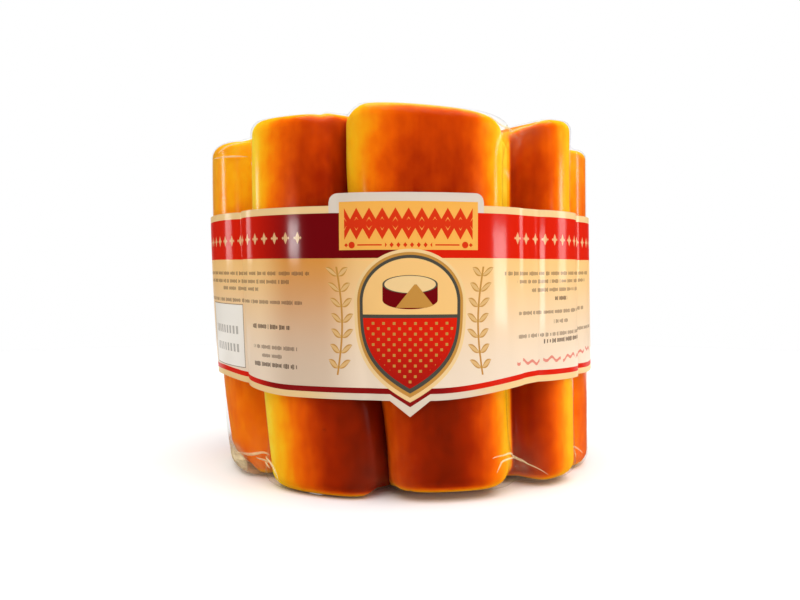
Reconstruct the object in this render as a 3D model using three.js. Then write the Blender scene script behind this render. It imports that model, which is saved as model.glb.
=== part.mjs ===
// A whole smoked provolone, sealed in clear shrink film, with a printed paper band round its middle.
// The cheese is a squat drum of nine upright lobes, as the cords that it hung in left them.
// Millimetres, +Z up. The origin is the middle of the base, and the front faces -Y.
// Azimuths are degrees from the front, positive towards +X. A share of the height is 0 at the
// foot and 1 at the top, and a place across a lobe is -1 at its left valley and 1 at its right.
import * as THREE from "three";

// Valleys between the lobes. azimuths are at the top and at the foot, where the lobes lean over.
// notch is the depth of the cord's mark across the top rim, and shoulder is how boxy the walls are.
// floors are the degrees of flat floor before and after the middle, and webs are the parts of the
// depth that the film fills at the top and at the foot. sink is the part that the band follows.
const VALLEYS = [
  { azimuths: [-92, -92], notch: 1, shoulder: 3, floors: [1, 0.5], webs: [0.3, 0.4], sink: 0.3 },
  { azimuths: [-48.2, -48.6], notch: 0.6, shoulder: 3, floors: [0.5, 0], webs: [0.15, 0.6], sink: 0.25 },
  { azimuths: [-15.8, -7], notch: 0, shoulder: 5, floors: [0, 0], webs: [0.1, 0.15], sink: 0.05 },
  { azimuths: [35.2, 34], notch: 4.5, shoulder: 3, floors: [4, 2.3], webs: [0.55, 0.6], sink: 0.12 },
  { azimuths: [59.4, 61], notch: 1.5, shoulder: 3, floors: [0, 0.5], webs: [0.3, 0.5], sink: 0.4 },
  { azimuths: [106, 106], notch: 2, shoulder: 3.4, floors: [1.5, 1], webs: [0.4, 0.5], sink: 0.3 },
  { azimuths: [146, 149], notch: 3.5, shoulder: 3, floors: [2, 2.5], webs: [0.5, 0.6], sink: 0.15 },
  { azimuths: [187, 190], notch: 1.5, shoulder: 4, floors: [0.5, 0.5], webs: [0.3, 0.4], sink: 0.3 },
  { azimuths: [228, 227], notch: 3, shoulder: 3, floors: [2, 1], webs: [0.5, 0.5], sink: 0.2 },
];

// Lobe n lies between valleys n and n + 1. reach is its crest's distance from the axis, top and
// foot are the heights of its end faces, tilt is how much its top rises from left to right, and rim
// is the radius of its upper edge.
const LOBES = [
  { reach: 69.6, top: 112.4, foot: 0.8, tilt: -2, rim: 3 },
  { reach: 70.5, top: 114.5, foot: 0, tilt: -1.6, rim: 4.2 },
  { reach: 71.3, top: 114.9, foot: 2.2, tilt: -3.2, rim: 4.2 },
  { reach: 70, top: 116.4, foot: 1.4, tilt: 4, rim: 3.6 },
  { reach: 69.3, top: 111.6, foot: 0, tilt: 1, rim: 1.6 },
  { reach: 70, top: 112, foot: 0.6, tilt: 1, rim: 3.6 },
  { reach: 71, top: 113.5, foot: 0, tilt: 0, rim: 4.2 },
  { reach: 69.5, top: 111.4, foot: 0.9, tilt: -1, rim: 3.6 },
  { reach: 70.2, top: 113, foot: 0, tilt: 0, rim: 4.2 },
];

// Cross-section of a lobe: a rounded column that stands on the valley radius.
const VALLEY_RADIUS = 59;
const WALL_CUT = 0.98;
const BLEND_FROM = 0.75;

// The drum narrows and leans a little towards its foot.
const FOOT_TAPER = 0.042;
const TAPER_POWER = 2.2;
const LEAN_AT_TOP = -0.9;
const LEAN_AT_FOOT = 2.7;
const LEAN_POWER = 2;
const SWING_START = 0.1;
const SWING_END = 0.95;

// How far along the valleys the film bridges them, from each end.
const TOP_WEB = 7;
const FOOT_WEB = 11;

// End faces: the rounding of the lower edge, the cord marks that fade inwards, the dished middle of
// the top and the flat disc in the middle of the base.
const FOOT_RIM = 4.6;
const FOOT_NOTCH = 0.8;
const NOTCH_POWER = 6;
const NOTCH_START = 0.4;
const DISH_HEIGHT = 107;
const DISH_SHARE = 0.8;
const FLAT_SHARE = 0.65;
const DISC_SHARE = 0.25;

// Printed band: its edges at the sides, how far it hangs lower in front and higher at the back, the
// deeper front of its lower edge, the raised tab, the point below, the lower edge that stands off at
// the right, and the glued lap.
const BAND_TOP = 89.2;
const BAND_BOTTOM = 34;
const BAND_TILT = 3.7;
const DIP = { depth: 3.8, from: [-64, -28], to: [7, 38] };
const BAND_GAP = 0.3;
const BAND_THICKNESS = 0.4;
const TAB = { from: -17.3, to: 19.1, rise: 3.5, corner: 2.6 };
const POINT = { azimuth: 1.8, halfWidth: 4.7, depth: 4.6 };
const FLARE = { azimuth: 92, halfWidth: 24, reach: 1.2, lift: 1.5 };
const LAP = { from: 170, to: 180 };

// Fineness of the meshes.
const LOBE_STEPS = 14;
const SIDE_STEPS = 9;
const RIM_STEPS = 4;
const END_SHARES = [0.85, FLAT_SHARE, 0.45, DISC_SHARE];
const BAND_ROWS = 4;
const EDGE_STEP = 0.02;
const CORNER_STEP = 0.65;
const LEAST_SPACING = 0.01;

const BODY_HEIGHT = 116;
const BAND_TOP_SHARE = BAND_TOP / BODY_HEIGHT;
const BAND_FOOT_SHARE = BAND_BOTTOM / BODY_HEIGHT;
const FULL_TURN = 360;
const { degToRad, lerp, smoothstep } = THREE.MathUtils;

const filmOverCheese = new THREE.MeshStandardMaterial({ color: 0xd8700f, roughness: 0.22 });
const printedPaper = new THREE.MeshStandardMaterial({ color: 0xe6cda6, roughness: 0.3 });

function valleyAzimuth(index, share) {
  const [top, foot] = VALLEYS[index % VALLEYS.length].azimuths;
  const turn = index >= VALLEYS.length ? FULL_TURN : 0;
  return turn + lerp(top, foot, smoothstep(1 - share, SWING_START, SWING_END));
}

function azimuthOf({ index, across }, share) {
  return lerp(valleyAzimuth(index, share), valleyAzimuth(index + 1, share), (across + 1) / 2);
}

function leanAt(share) {
  return lerp(LEAN_AT_TOP, LEAN_AT_FOOT, (1 - share) ** LEAN_POWER);
}

function taperAt(share) {
  return 1 - FOOT_TAPER * (1 - share) ** TAPER_POWER;
}

// The valley that a place on a lobe lies towards.
function nearValley({ index, across }) {
  return VALLEYS[(across < 0 ? index : index + 1) % VALLEYS.length];
}

// Fullness of a lobe: 1 on its crest, 0 on the floors of the valleys.
function lobeFullness({ index, across }) {
  const valley = nearValley({ index, across });
  const [before, after] = valley.floors;
  const floor = across < 0 ? after : before;
  const halfSpan = (valleyAzimuth(index + 1, 1) - valleyAzimuth(index, 1)) / 2;
  const reached = Math.min(1, Math.abs(across) / (1 - floor / halfSpan));
  const arch = (u) => Math.sqrt(1 - (WALL_CUT * u) ** valley.shoulder);
  return (arch(reached) - arch(1)) / (1 - arch(1));
}

// A value of the lobe that runs smoothly into the next lobe's value at the valley between them.
function blended(index, across, valueOf) {
  const side = across < 0 ? -1 : 1;
  const next = LOBES[(index + side + LOBES.length) % LOBES.length];
  const atValley = (valueOf(LOBES[index], side) + valueOf(next, -side)) / 2;
  const weight = smoothstep(Math.abs(across), BLEND_FROM, 1);
  return lerp(valueOf(LOBES[index], across), atValley, weight);
}

const reachOf = (lobe) => lobe.reach;
const topOf = (lobe, across) => lobe.top + (lobe.tilt * across) / 2;
const footOf = (lobe) => lobe.foot;
const rimOf = (lobe) => lobe.rim;

// Point on the outline at a share of the height. With depthShare below 1 it bridges the valleys.
function outlinePoint({ index, across }, share, depthShare, offset) {
  const azimuth = degToRad(azimuthOf({ index, across }, share));
  const reach = blended(index, across, reachOf);
  const hollow = (reach - VALLEY_RADIUS) * (1 - lobeFullness({ index, across }));
  const radius = (reach - hollow * depthShare) * taperAt(share) + offset;
  return new THREE.Vector2(radius * Math.sin(azimuth) + leanAt(share), -radius * Math.cos(azimuth));
}

// Columns of the body, closer together on the steep walls of the valleys.
function bodyColumns() {
  const columns = [];
  for (let index = 0; index < LOBES.length; index += 1) {
    for (let step = 0; step < LOBE_STEPS; step += 1) {
      const across = Math.sin(Math.PI * (step / LOBE_STEPS - 0.5));
      columns.push({ index, across });
    }
  }
  return columns;
}

// The part of a valley's depth that is left open by the film, at a distance from each end.
function openDepth(valley, belowTop, aboveFoot) {
  const [topWeb, footWeb] = valley.webs;
  const atTop = topWeb * Math.exp(-((belowTop / TOP_WEB) ** 2));
  const atFoot = footWeb * Math.exp(-((aboveFoot / FOOT_WEB) ** 2));
  return 1 - atTop - atFoot;
}

// Height of an end face over a column, from the middle at inward 0 to the rim at inward 1. The cord
// marks cut it at the valleys, and they fade inwards.
function topHeight({ index, across }, inward) {
  const depth = nearValley({ index, across }).notch * Math.abs(across) ** NOTCH_POWER;
  const notch = depth * smoothstep(inward, NOTCH_START, 1);
  const flat = blended(index, across, topOf);
  return lerp(DISH_HEIGHT, flat, smoothstep(inward, 0, DISH_SHARE)) - notch;
}

function footHeight({ index, across }, inward) {
  const notch = FOOT_NOTCH * Math.abs(across) ** NOTCH_POWER;
  return (blended(index, across, footOf) + notch) * smoothstep(inward, DISC_SHARE, FLAT_SHARE);
}

// Radii of the upper and lower edges over a column.
const topRim = ({ index, across }) => blended(index, across, rimOf);
const footRim = () => FOOT_RIM;

function sideRing(columns, share) {
  return columns.map((column) => {
    const top = topHeight(column, 1);
    const foot = footHeight(column, 1);
    const z = lerp(foot + FOOT_RIM, top - topRim(column), share);
    const depth = openDepth(nearValley(column), top - z, z - foot);
    const point = outlinePoint(column, share, depth, 0);
    return new THREE.Vector3(point.x, point.y, z);
  });
}

// A ring moved in along the outline's own normals, by an inset for each point.
function insetRing(ring, insets) {
  return ring.map((point, i) => {
    const before = ring[(i + ring.length - 1) % ring.length];
    const after = ring[(i + 1) % ring.length];
    const along = new THREE.Vector2(after.x - before.x, after.y - before.y).normalize();
    return new THREE.Vector3(point.x - along.y * insets[i], point.y + along.x * insets[i], point.z);
  });
}

// The rounded rim and the face of one end, from the side ring towards the middle.
function endRings(columns, sideEnd, rimAt, heightOf, outward) {
  const rings = [];
  const rims = columns.map(rimAt);
  for (let step = 1; step <= RIM_STEPS; step += 1) {
    const angle = (Math.PI / 2) * (step / RIM_STEPS);
    const insets = rims.map((rim) => rim * (1 - Math.cos(angle)));
    const ring = insetRing(sideEnd, insets);
    ring.forEach((point, i) => {
      point.z = heightOf(columns[i], 1) - outward * rims[i] * (1 - Math.sin(angle));
    });
    rings.push(ring);
  }
  const rimRing = rings[rings.length - 1];
  const middle = new THREE.Vector3();
  rimRing.forEach((point) => middle.addScaledVector(point, 1 / rimRing.length));
  for (const share of END_SHARES) {
    rings.push(
      rimRing.map((point, i) => {
        const x = lerp(middle.x, point.x, share);
        const y = lerp(middle.y, point.y, share);
        return new THREE.Vector3(x, y, heightOf(columns[i], share));
      }),
    );
  }
  const centre = new THREE.Vector3(middle.x, middle.y, heightOf(columns[0], 0));
  return { rings, centre };
}

// Geometry of a stack of rings, each with the same number of points, wound to face outwards.
function geometryOf(points, triangles) {
  const geometry = new THREE.BufferGeometry();
  const numbers = points.flatMap((point) => [point.x, point.y, point.z]);
  geometry.setAttribute("position", new THREE.Float32BufferAttribute(numbers, 3));
  geometry.setIndex(triangles.flat());
  geometry.computeVertexNormals();
  return geometry;
}

// Two triangles for each cell between ring a and ring b, given by their first point's number.
function wallBetween(ringA, ringB, count) {
  const triangles = [];
  for (let i = 0; i < count; i += 1) {
    const next = (i + 1) % count;
    triangles.push([ringA + i, ringA + next, ringB + next]);
    triangles.push([ringA + i, ringB + next, ringB + i]);
  }
  return triangles;
}

function sealedCheeseGeometry() {
  const columns = bodyColumns();
  const sides = [];
  for (let step = 0; step <= SIDE_STEPS; step += 1) {
    const share = (1 - Math.cos((Math.PI * step) / SIDE_STEPS)) / 2;
    sides.push(sideRing(columns, share));
  }
  const foot = endRings(columns, sides[0], footRim, footHeight, -1);
  const top = endRings(columns, sides[SIDE_STEPS], topRim, topHeight, 1);
  const rings = [...foot.rings.reverse(), ...sides, ...top.rings];
  const count = columns.length;
  const points = [...rings.flat(), foot.centre, top.centre];
  const triangles = [];
  for (let level = 0; level + 1 < rings.length; level += 1) {
    triangles.push(...wallBetween(level * count, (level + 1) * count, count));
  }
  const topRing = (rings.length - 1) * count;
  for (let i = 0; i < count; i += 1) {
    const next = (i + 1) % count;
    triangles.push([points.length - 2, next, i]);
    triangles.push([topRing + i, topRing + next, points.length - 1]);
  }
  return geometryOf(points, triangles);
}

// Where an azimuth falls at a share of the height: the lobe, and the place across it.
function placeOf(azimuth, share) {
  const first = valleyAzimuth(0, share);
  const wrapped = first + ((azimuth - first + FULL_TURN) % FULL_TURN);
  let index = LOBES.length - 1;
  while (index > 0 && wrapped < valleyAzimuth(index, share)) {
    index -= 1;
  }
  const from = valleyAzimuth(index, share);
  const to = valleyAzimuth(index + 1, share);
  return { index, across: (2 * (wrapped - from)) / (to - from) - 1 };
}

// Rise of the tab over the band's top edge, with rounded corners.
function tabRise(azimuth) {
  const mmPerDegree = degToRad(LOBES[2].reach);
  const inside = Math.min(azimuth - TAB.from, TAB.to - azimuth) * mmPerDegree;
  if (inside <= 0) {
    return 0;
  }
  const round = Math.max(TAB.corner - inside, 0);
  return TAB.rise - TAB.corner + Math.sqrt(TAB.corner ** 2 - round ** 2);
}

function pointDrop(azimuth) {
  return POINT.depth * Math.max(0, 1 - Math.abs(azimuth - POINT.azimuth) / POINT.halfWidth);
}

function flareAt(azimuth) {
  const away = Math.min(1, Math.abs(azimuth - FLARE.azimuth) / FLARE.halfWidth);
  return (1 + Math.cos(Math.PI * away)) / 2;
}

// Corners of the tab, the lap and the point, each as a place on the lobes at its own edge's height.
function bandCorners() {
  const corners = [];
  for (const step of [-EDGE_STEP, EDGE_STEP, CORNER_STEP, 2 * CORNER_STEP, 3 * CORNER_STEP]) {
    corners.push(placeOf(TAB.from + step, BAND_TOP_SHARE), placeOf(TAB.to - step, BAND_TOP_SHARE));
  }
  for (const step of [-EDGE_STEP, EDGE_STEP]) {
    corners.push(placeOf(LAP.from + step, BAND_TOP_SHARE), placeOf(LAP.to - step, BAND_TOP_SHARE));
  }
  for (const step of [-POINT.halfWidth, 0, POINT.halfWidth]) {
    corners.push(placeOf(POINT.azimuth + step, BAND_FOOT_SHARE));
  }
  return corners;
}

// Columns of the band: the body's own, with the corners let in between them.
function bandColumns() {
  const order = ({ index, across }) => index + (across + 1) / 2;
  const corners = bandCorners();
  const clear = (place) => corners.every((corner) => Math.abs(order(corner) - order(place)) > LEAST_SPACING);
  return [...bodyColumns().filter(clear), ...corners].sort((a, b) => order(a) - order(b));
}

// Heights of the band's two edges. At the back the lower one rises as far as the upper one.
function upperEdge(azimuth) {
  return BAND_TOP - BAND_TILT * Math.cos(degToRad(azimuth)) + tabRise(azimuth);
}

function lowerEdge(azimuth) {
  const rise = BAND_TILT * Math.max(0, -Math.cos(degToRad(azimuth)));
  const inside = smoothstep(azimuth, ...DIP.from) * (1 - smoothstep(azimuth, ...DIP.to));
  return BAND_BOTTOM + rise - DIP.depth * inside - pointDrop(azimuth) + FLARE.lift * flareAt(azimuth);
}

function bandPoint(place, row, offset) {
  const lowAzimuth = azimuthOf(place, BAND_FOOT_SHARE);
  const high = upperEdge(azimuthOf(place, BAND_TOP_SHARE));
  const z = lerp(lowerEdge(lowAzimuth), high, row / BAND_ROWS);
  const flare = FLARE.reach * flareAt(lowAzimuth) * (1 - row / BAND_ROWS);
  const point = outlinePoint(place, z / BODY_HEIGHT, nearValley(place).sink, offset + flare);
  return new THREE.Vector3(point.x, point.y, z);
}

// The band is one closed strip round the drum: its outer face, its inner face and its two edges.
function printedBandGeometry() {
  const places = bandColumns();
  const count = places.length;
  const rings = [];
  for (let row = 0; row <= BAND_ROWS; row += 1) {
    rings.push(
      places.map((place) => {
        const azimuth = azimuthOf(place, BAND_TOP_SHARE);
        const layers = azimuth > LAP.from && azimuth < LAP.to ? 2 : 1;
        return bandPoint(place, row, BAND_GAP + layers * BAND_THICKNESS);
      }),
    );
  }
  for (let row = BAND_ROWS; row >= 0; row -= 1) {
    rings.push(places.map((place) => bandPoint(place, row, BAND_GAP)));
  }
  const triangles = [];
  for (let level = 0; level < rings.length; level += 1) {
    const above = (level + 1) % rings.length;
    triangles.push(...wallBetween(level * count, above * count, count));
  }
  return geometryOf(rings.flat(), triangles);
}

function namedMesh(name, geometry, material) {
  const mesh = new THREE.Mesh(geometry, material);
  mesh.name = name;
  return mesh;
}

const provolone = new THREE.Group();
provolone.add(namedMesh("sealed_cheese", sealedCheeseGeometry(), filmOverCheese));
provolone.add(namedMesh("printed_band", printedBandGeometry(), printedPaper));

export default provolone;
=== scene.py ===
"""Looks of a whole smoked provolone, sealed in clear shrink film, with a printed band round it.

Metres, +Z up, the front faces -Y. Azimuths are degrees from the front, positive towards +X. A share
of the height is 0 at the foot and 1 at the top, and a place across a lobe is -1 at its left valley
and 1 at its right. The print is laid out in millimetres on the flat band.
"""

import logging
import math
from collections.abc import Callable
from dataclasses import dataclass, field
from enum import Enum

import bmesh
import bpy
import numpy as np
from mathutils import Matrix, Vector, noise


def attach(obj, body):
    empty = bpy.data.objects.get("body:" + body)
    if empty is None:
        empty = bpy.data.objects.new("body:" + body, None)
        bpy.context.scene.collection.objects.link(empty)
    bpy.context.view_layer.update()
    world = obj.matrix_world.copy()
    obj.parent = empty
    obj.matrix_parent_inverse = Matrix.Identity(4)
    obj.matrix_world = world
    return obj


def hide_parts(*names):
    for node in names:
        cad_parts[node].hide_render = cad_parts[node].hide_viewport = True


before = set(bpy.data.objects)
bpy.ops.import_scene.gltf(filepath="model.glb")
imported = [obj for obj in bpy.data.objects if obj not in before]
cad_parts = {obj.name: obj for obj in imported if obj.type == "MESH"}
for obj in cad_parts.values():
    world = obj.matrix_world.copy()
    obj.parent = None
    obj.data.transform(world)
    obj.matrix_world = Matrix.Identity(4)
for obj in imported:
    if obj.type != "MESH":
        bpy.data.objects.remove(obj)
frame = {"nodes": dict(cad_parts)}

LOG = logging.getLogger("provolone")
FULL_TURN = 360.0
MM = 0.001
MM_A_METRE = 1000.0
SLIP = 1e-6
NEARLY_ALL = 0.9
Colour = tuple[float, float, float]
Zone = tuple[float, float, float, float]
Pair = tuple[float, float]
Piece = bpy.types.Object
Socket = bpy.types.NodeSocket
Edge = bmesh.types.BMEdge


# Hand tools: selection, edit mode and modifiers
# ----------------------------------------------


class Element(Enum):
    """The kinds of mesh element that can be selected, by their names in edit mode."""

    EDGES = "EDGE"
    FACES = "FACE"


def deselect_all() -> None:
    """Leaves nothing selected and nothing active."""
    bpy.ops.object.select_all(action="DESELECT")
    bpy.context.view_layer.objects.active = None


def select_only(piece: Piece) -> None:
    """Selects one piece and makes it active."""
    deselect_all()
    piece.select_set(True)
    bpy.context.view_layer.objects.active = piece


def select_where(piece: Piece, kind: Element, test: Callable[[object], bool]) -> None:
    """Selects the elements of a piece in edit mode that pass a test, and no others.

    Args:
        piece: The object that is in edit mode.
        kind: The kind of element to select.
        test: Says of one element whether it is selected.
    """
    bpy.ops.mesh.select_mode(type=kind.value)
    bpy.ops.mesh.select_all(action="DESELECT")
    mesh = bmesh.from_edit_mesh(piece.data)
    for element in getattr(mesh, kind.name.lower()):
        if test(element):
            element.select_set(True)
    mesh.select_flush_mode()
    bmesh.update_edit_mesh(piece.data)


def on_level(edge: Edge, axis: int, level: float) -> bool:
    """Says whether both ends of an edge have a coordinate at a level."""
    return all(abs(vertex.co[axis] - level) < SLIP for vertex in edge.verts)


def rises_over(edge: Edge, rise: float) -> bool:
    """Says whether an edge rises by more than a height."""
    return abs(edge.verts[0].co.z - edge.verts[1].co.z) > rise


def is_end_face(face: bmesh.types.BMFace, sign: int) -> bool:
    """Says whether a face is the many-sided end that looks up, for sign 1, or down, for -1."""
    return len(face.verts) > 4 and face.normal.z * sign > NEARLY_ALL


def apply_modifier(piece: Piece, kind: str, **settings: object) -> None:
    """Adds a modifier to a piece and applies it.

    Args:
        piece: The object that gets it.
        kind: The modifier's type.
        **settings: Values of the modifier's properties.
    """
    select_only(piece)
    modifier = piece.modifiers.new(kind.title(), kind)
    for name, value in settings.items():
        setattr(modifier, name, value)
    bpy.ops.object.modifier_apply(modifier=modifier.name)


def smooth_shaded(piece: Piece, angle: float | None = None) -> None:
    """Shades a piece smooth.

    Args:
        piece: The object.
        angle: Edges sharper than this many radians stay sharp, or None for none.
    """
    select_only(piece)
    if angle is None:
        bpy.ops.object.shade_smooth()
    else:
        bpy.ops.object.shade_smooth_by_angle(angle=angle)


def store(piece: Piece, name: str, values: list[float]) -> None:
    """Gives each vertex of a piece its value of a named attribute."""
    attribute = piece.data.attributes.new(name, "FLOAT", "POINT")
    attribute.data.foreach_set("value", values)


def smoothstep(value: float, low: float, high: float) -> float:
    """Smooth rise from 0 at low to 1 at high."""
    t = min(max((value - low) / (high - low), 0.0), 1.0)
    return t * t * (3 - 2 * t)


def lerp(start: float, end: float, share: float) -> float:
    """Value at a share of the way from start to end."""
    return start + (end - start) * share


# The lobed form
# --------------


@dataclass(frozen=True)
class Valley:
    """A valley between two lobes.

    azimuths are at the top and at the foot, where the lobes lean over. notch is the depth of the
    cord's mark across the top rim, and shoulder is how boxy the walls are. floors are the degrees
    of flat floor before and after the middle, and webs are the parts of the depth that the film
    fills at the top and at the foot. sink is the part that the band follows.
    """

    azimuths: Pair
    notch: float
    shoulder: float
    floors: Pair
    webs: Pair
    sink: float


@dataclass(frozen=True)
class StainAndShade:
    """Smoke across a lobe, from left to right, with painted shade and painted light in it.

    It deepens over rise and clears over fall. depth is the deepest, and pale the least. A fullness
    under 1 makes its middle wider.
    """

    rise: Pair = (-1.0, -0.2)
    fall: Pair = (0.3, 1.0)
    depth: float = 0.7
    pale: float = 0.06
    fullness: float = 0.8

    def at(self, across: float) -> float:
        """Depth of the smoke's colour at a place across the lobe."""
        inside = smoothstep(across, *self.rise) * (1 - smoothstep(across, *self.fall))
        return lerp(self.pale, self.depth, inside**self.fullness)


@dataclass(frozen=True)
class Lobe:
    """A lobe: its crest's distance from the axis, its end faces' heights, and its finish.

    tilt is how much its top rises from left to right, and rim is the radius of its upper edge.
    heel is how far its cheese is rounded at the foot, on the left and on the right. Its high and
    low stains are the smoke across it at its top and at its foot, partly smoke and partly painted
    shade and light.
    """

    reach: float
    top: float
    foot: float
    tilt: float
    rim: float
    heel: Pair = (0.005, 0.005)
    heel_change: Pair = (0.45, 0.85)
    high_stain_and_shade: StainAndShade = StainAndShade()
    low_stain_and_shade: StainAndShade = StainAndShade()

    def heel_at(self, across: float) -> float:
        """Rounding of the cheese's foot at a place across the lobe."""
        return lerp(*self.heel, smoothstep(across, *self.heel_change))


@dataclass(frozen=True)
class Place:
    """A place round the drum: the lobe, and how far across it."""

    index: int
    across: float


@dataclass(frozen=True)
class LobedDrum:
    """The form that cheese, film and band share: nine rounded columns on one drum."""

    valleys: tuple[Valley, ...] = (
        Valley((-92.0, -92.0), 0.0010, 3.0, floors=(1.0, 0.5), webs=(0.3, 0.4), sink=0.3),
        Valley((-48.2, -48.6), 0.0006, 3.0, floors=(0.5, 0.0), webs=(0.15, 0.6), sink=0.25),
        Valley((-15.8, -7.0), 0.0, 5.0, floors=(0.0, 0.0), webs=(0.1, 0.15), sink=0.05),
        Valley((35.2, 34.0), 0.0045, 3.0, floors=(4.0, 2.3), webs=(0.55, 0.6), sink=0.12),
        Valley((59.4, 61.0), 0.0015, 3.0, floors=(0.0, 0.5), webs=(0.3, 0.5), sink=0.4),
        Valley((106.0, 106.0), 0.0020, 3.4, floors=(1.5, 1.0), webs=(0.4, 0.5), sink=0.3),
        Valley((146.0, 149.0), 0.0035, 3.0, floors=(2.0, 2.5), webs=(0.5, 0.6), sink=0.15),
        Valley((187.0, 190.0), 0.0015, 4.0, floors=(0.5, 0.5), webs=(0.3, 0.4), sink=0.3),
        Valley((228.0, 227.0), 0.0030, 3.0, floors=(2.0, 1.0), webs=(0.5, 0.5), sink=0.2),
    )
    # The stains below carry painted shade and light: the second lobe's right wall and the fourth
    # lobe's left wall, which the third lobe shades, are dark, crests that face the front are
    # darker, and flanks lit from the sides are pale.
    lobes: tuple[Lobe, ...] = (
        Lobe(
            reach=0.0696, top=0.1124, foot=0.0008, tilt=-0.0020, rim=0.0030,
            heel=(0.0115, 0.0045),
            high_stain_and_shade=StainAndShade((-1.0, 0.4), (1.5, 2.0), 0.26, pale=0.12),
            low_stain_and_shade=StainAndShade((-1.0, 0.6), (0.8, 1.2), 0.42, pale=0.24),
        ),
        Lobe(
            reach=0.0705, top=0.1145, foot=0.0, tilt=-0.0016, rim=0.0042,
            high_stain_and_shade=StainAndShade((-0.76, 0.75), (1.5, 2.0), 0.74, pale=0.0),
            low_stain_and_shade=StainAndShade((-0.7, 0.8), (1.5, 2.0), 0.92, pale=0.02),
        ),
        Lobe(
            reach=0.0713, top=0.1149, foot=0.0022, tilt=-0.0032, rim=0.0042,
            high_stain_and_shade=StainAndShade((-1.0, -0.2), (0.1, 0.76), 0.71, pale=0.05),
            low_stain_and_shade=StainAndShade((-1.5, -0.2), (-0.25, 0.8), 0.9, pale=0.12),
        ),
        Lobe(
            reach=0.0700, top=0.1164, foot=0.0014, tilt=0.0036, rim=0.0036,
            high_stain_and_shade=StainAndShade((-0.95, -0.84), (-0.8, 0.35), 0.67, pale=0.18),
            low_stain_and_shade=StainAndShade((-0.96, -0.86), (-0.95, 0.25), 0.8, pale=0.2),
        ),
        Lobe(
            reach=0.0693, top=0.1116, foot=0.0, tilt=0.0010, rim=0.0016,
            high_stain_and_shade=StainAndShade((-1.0, -0.5), (0.3, 0.9), 0.4, pale=0.24),
            low_stain_and_shade=StainAndShade((-1.0, -0.5), (0.3, 0.9), 0.5, pale=0.34),
        ),
        Lobe(reach=0.0700, top=0.1120, foot=0.0006, tilt=0.0010, rim=0.0036),
        Lobe(
            reach=0.0710, top=0.1135, foot=0.0, tilt=0.0, rim=0.0042,
            high_stain_and_shade=StainAndShade((-0.9, 0.2), (0.7, 1.2), 0.62),
        ),
        Lobe(
            reach=0.0695, top=0.1114, foot=0.0009, tilt=-0.0010, rim=0.0036,
            low_stain_and_shade=StainAndShade((-1.3, -0.5), (0.1, 0.9), 0.8),
        ),
        Lobe(
            reach=0.0702, top=0.1130, foot=0.0, tilt=0.0, rim=0.0042,
            high_stain_and_shade=StainAndShade((-0.8, 0.1), (0.3, 0.95), 0.55),
        ),
    )
    valley_radius: float = 0.059
    wall_cut: float = 0.98
    blend_from: float = 0.75
    foot_taper: float = 0.042
    taper_power: float = 2.2
    lean_at_top: float = -0.0009
    lean_at_foot: float = 0.0027
    lean_power: float = 2.0
    swing_start: float = 0.1
    swing_end: float = 0.95
    notch_power: float = 6.0
    foot_notch: float = 0.0008
    dish_height: float = 0.107
    dish_share: float = 0.8
    flat_share: float = 0.65
    disc_share: float = 0.25
    notch_start: float = 0.4
    normal_step: float = 0.02
    body_height: float = 0.116

    def valley_azimuth(self, number: int, share: float) -> float:
        """Azimuth of a valley at a share of the height, with the numbers running on past a turn."""
        top, foot = self.valleys[number % len(self.valleys)].azimuths
        turn = FULL_TURN * (number // len(self.valleys))
        return turn + lerp(top, foot, smoothstep(1 - share, self.swing_start, self.swing_end))

    def azimuth(self, place: Place, share: float) -> float:
        """Azimuth of a place at a share of the height."""
        left = self.valley_azimuth(place.index, share)
        right = self.valley_azimuth(place.index + 1, share)
        return lerp(left, right, (place.across + 1) / 2)

    def place_at(self, azimuth: float, share: float) -> Place:
        """Place on the lobes of an azimuth at a share of the height."""
        first = self.valley_azimuth(0, share)
        wrapped = first + (azimuth - first) % FULL_TURN
        index = len(self.lobes) - 1
        while index > 0 and wrapped < self.valley_azimuth(index, share):
            index -= 1
        left = self.valley_azimuth(index, share)
        right = self.valley_azimuth(index + 1, share)
        return Place(index, 2 * (wrapped - left) / (right - left) - 1)

    def near_valley(self, place: Place) -> Valley:
        """The valley that a place on a lobe lies towards."""
        number = place.index if place.across < 0 else place.index + 1
        return self.valleys[number % len(self.valleys)]

    def fullness(self, place: Place) -> float:
        """Fullness of a lobe: 1 on its crest, 0 on the floors of the valleys."""
        valley = self.near_valley(place)
        before, after = valley.floors
        floor = after if place.across < 0 else before
        width = self.valley_azimuth(place.index + 1, 1) - self.valley_azimuth(place.index, 1)
        reached = min(1.0, abs(place.across) / (1 - 2 * floor / width))
        base = math.sqrt(1 - self.wall_cut**valley.shoulder)
        arch = math.sqrt(1 - (self.wall_cut * reached) ** valley.shoulder)
        return (arch - base) / (1 - base)

    def blended(self, place: Place, value_of: Callable[[Lobe, float], float]) -> float:
        """Value of the lobe that runs smoothly into the next lobe's at the valley.

        Args:
            place: Where the value is wanted.
            value_of: The value of a lobe at a place across it.

        Returns:
            The blended value.
        """
        side = -1 if place.across < 0 else 1
        own = self.lobes[place.index]
        following = self.lobes[(place.index + side) % len(self.lobes)]
        at_valley = (value_of(own, side) + value_of(following, -side)) / 2
        weight = smoothstep(abs(place.across), self.blend_from, 1)
        return lerp(value_of(own, place.across), at_valley, weight)

    def lean(self, share: float) -> float:
        """Shift of the outline towards +X at a share of the height."""
        return lerp(self.lean_at_top, self.lean_at_foot, (1 - share) ** self.lean_power)

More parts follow.
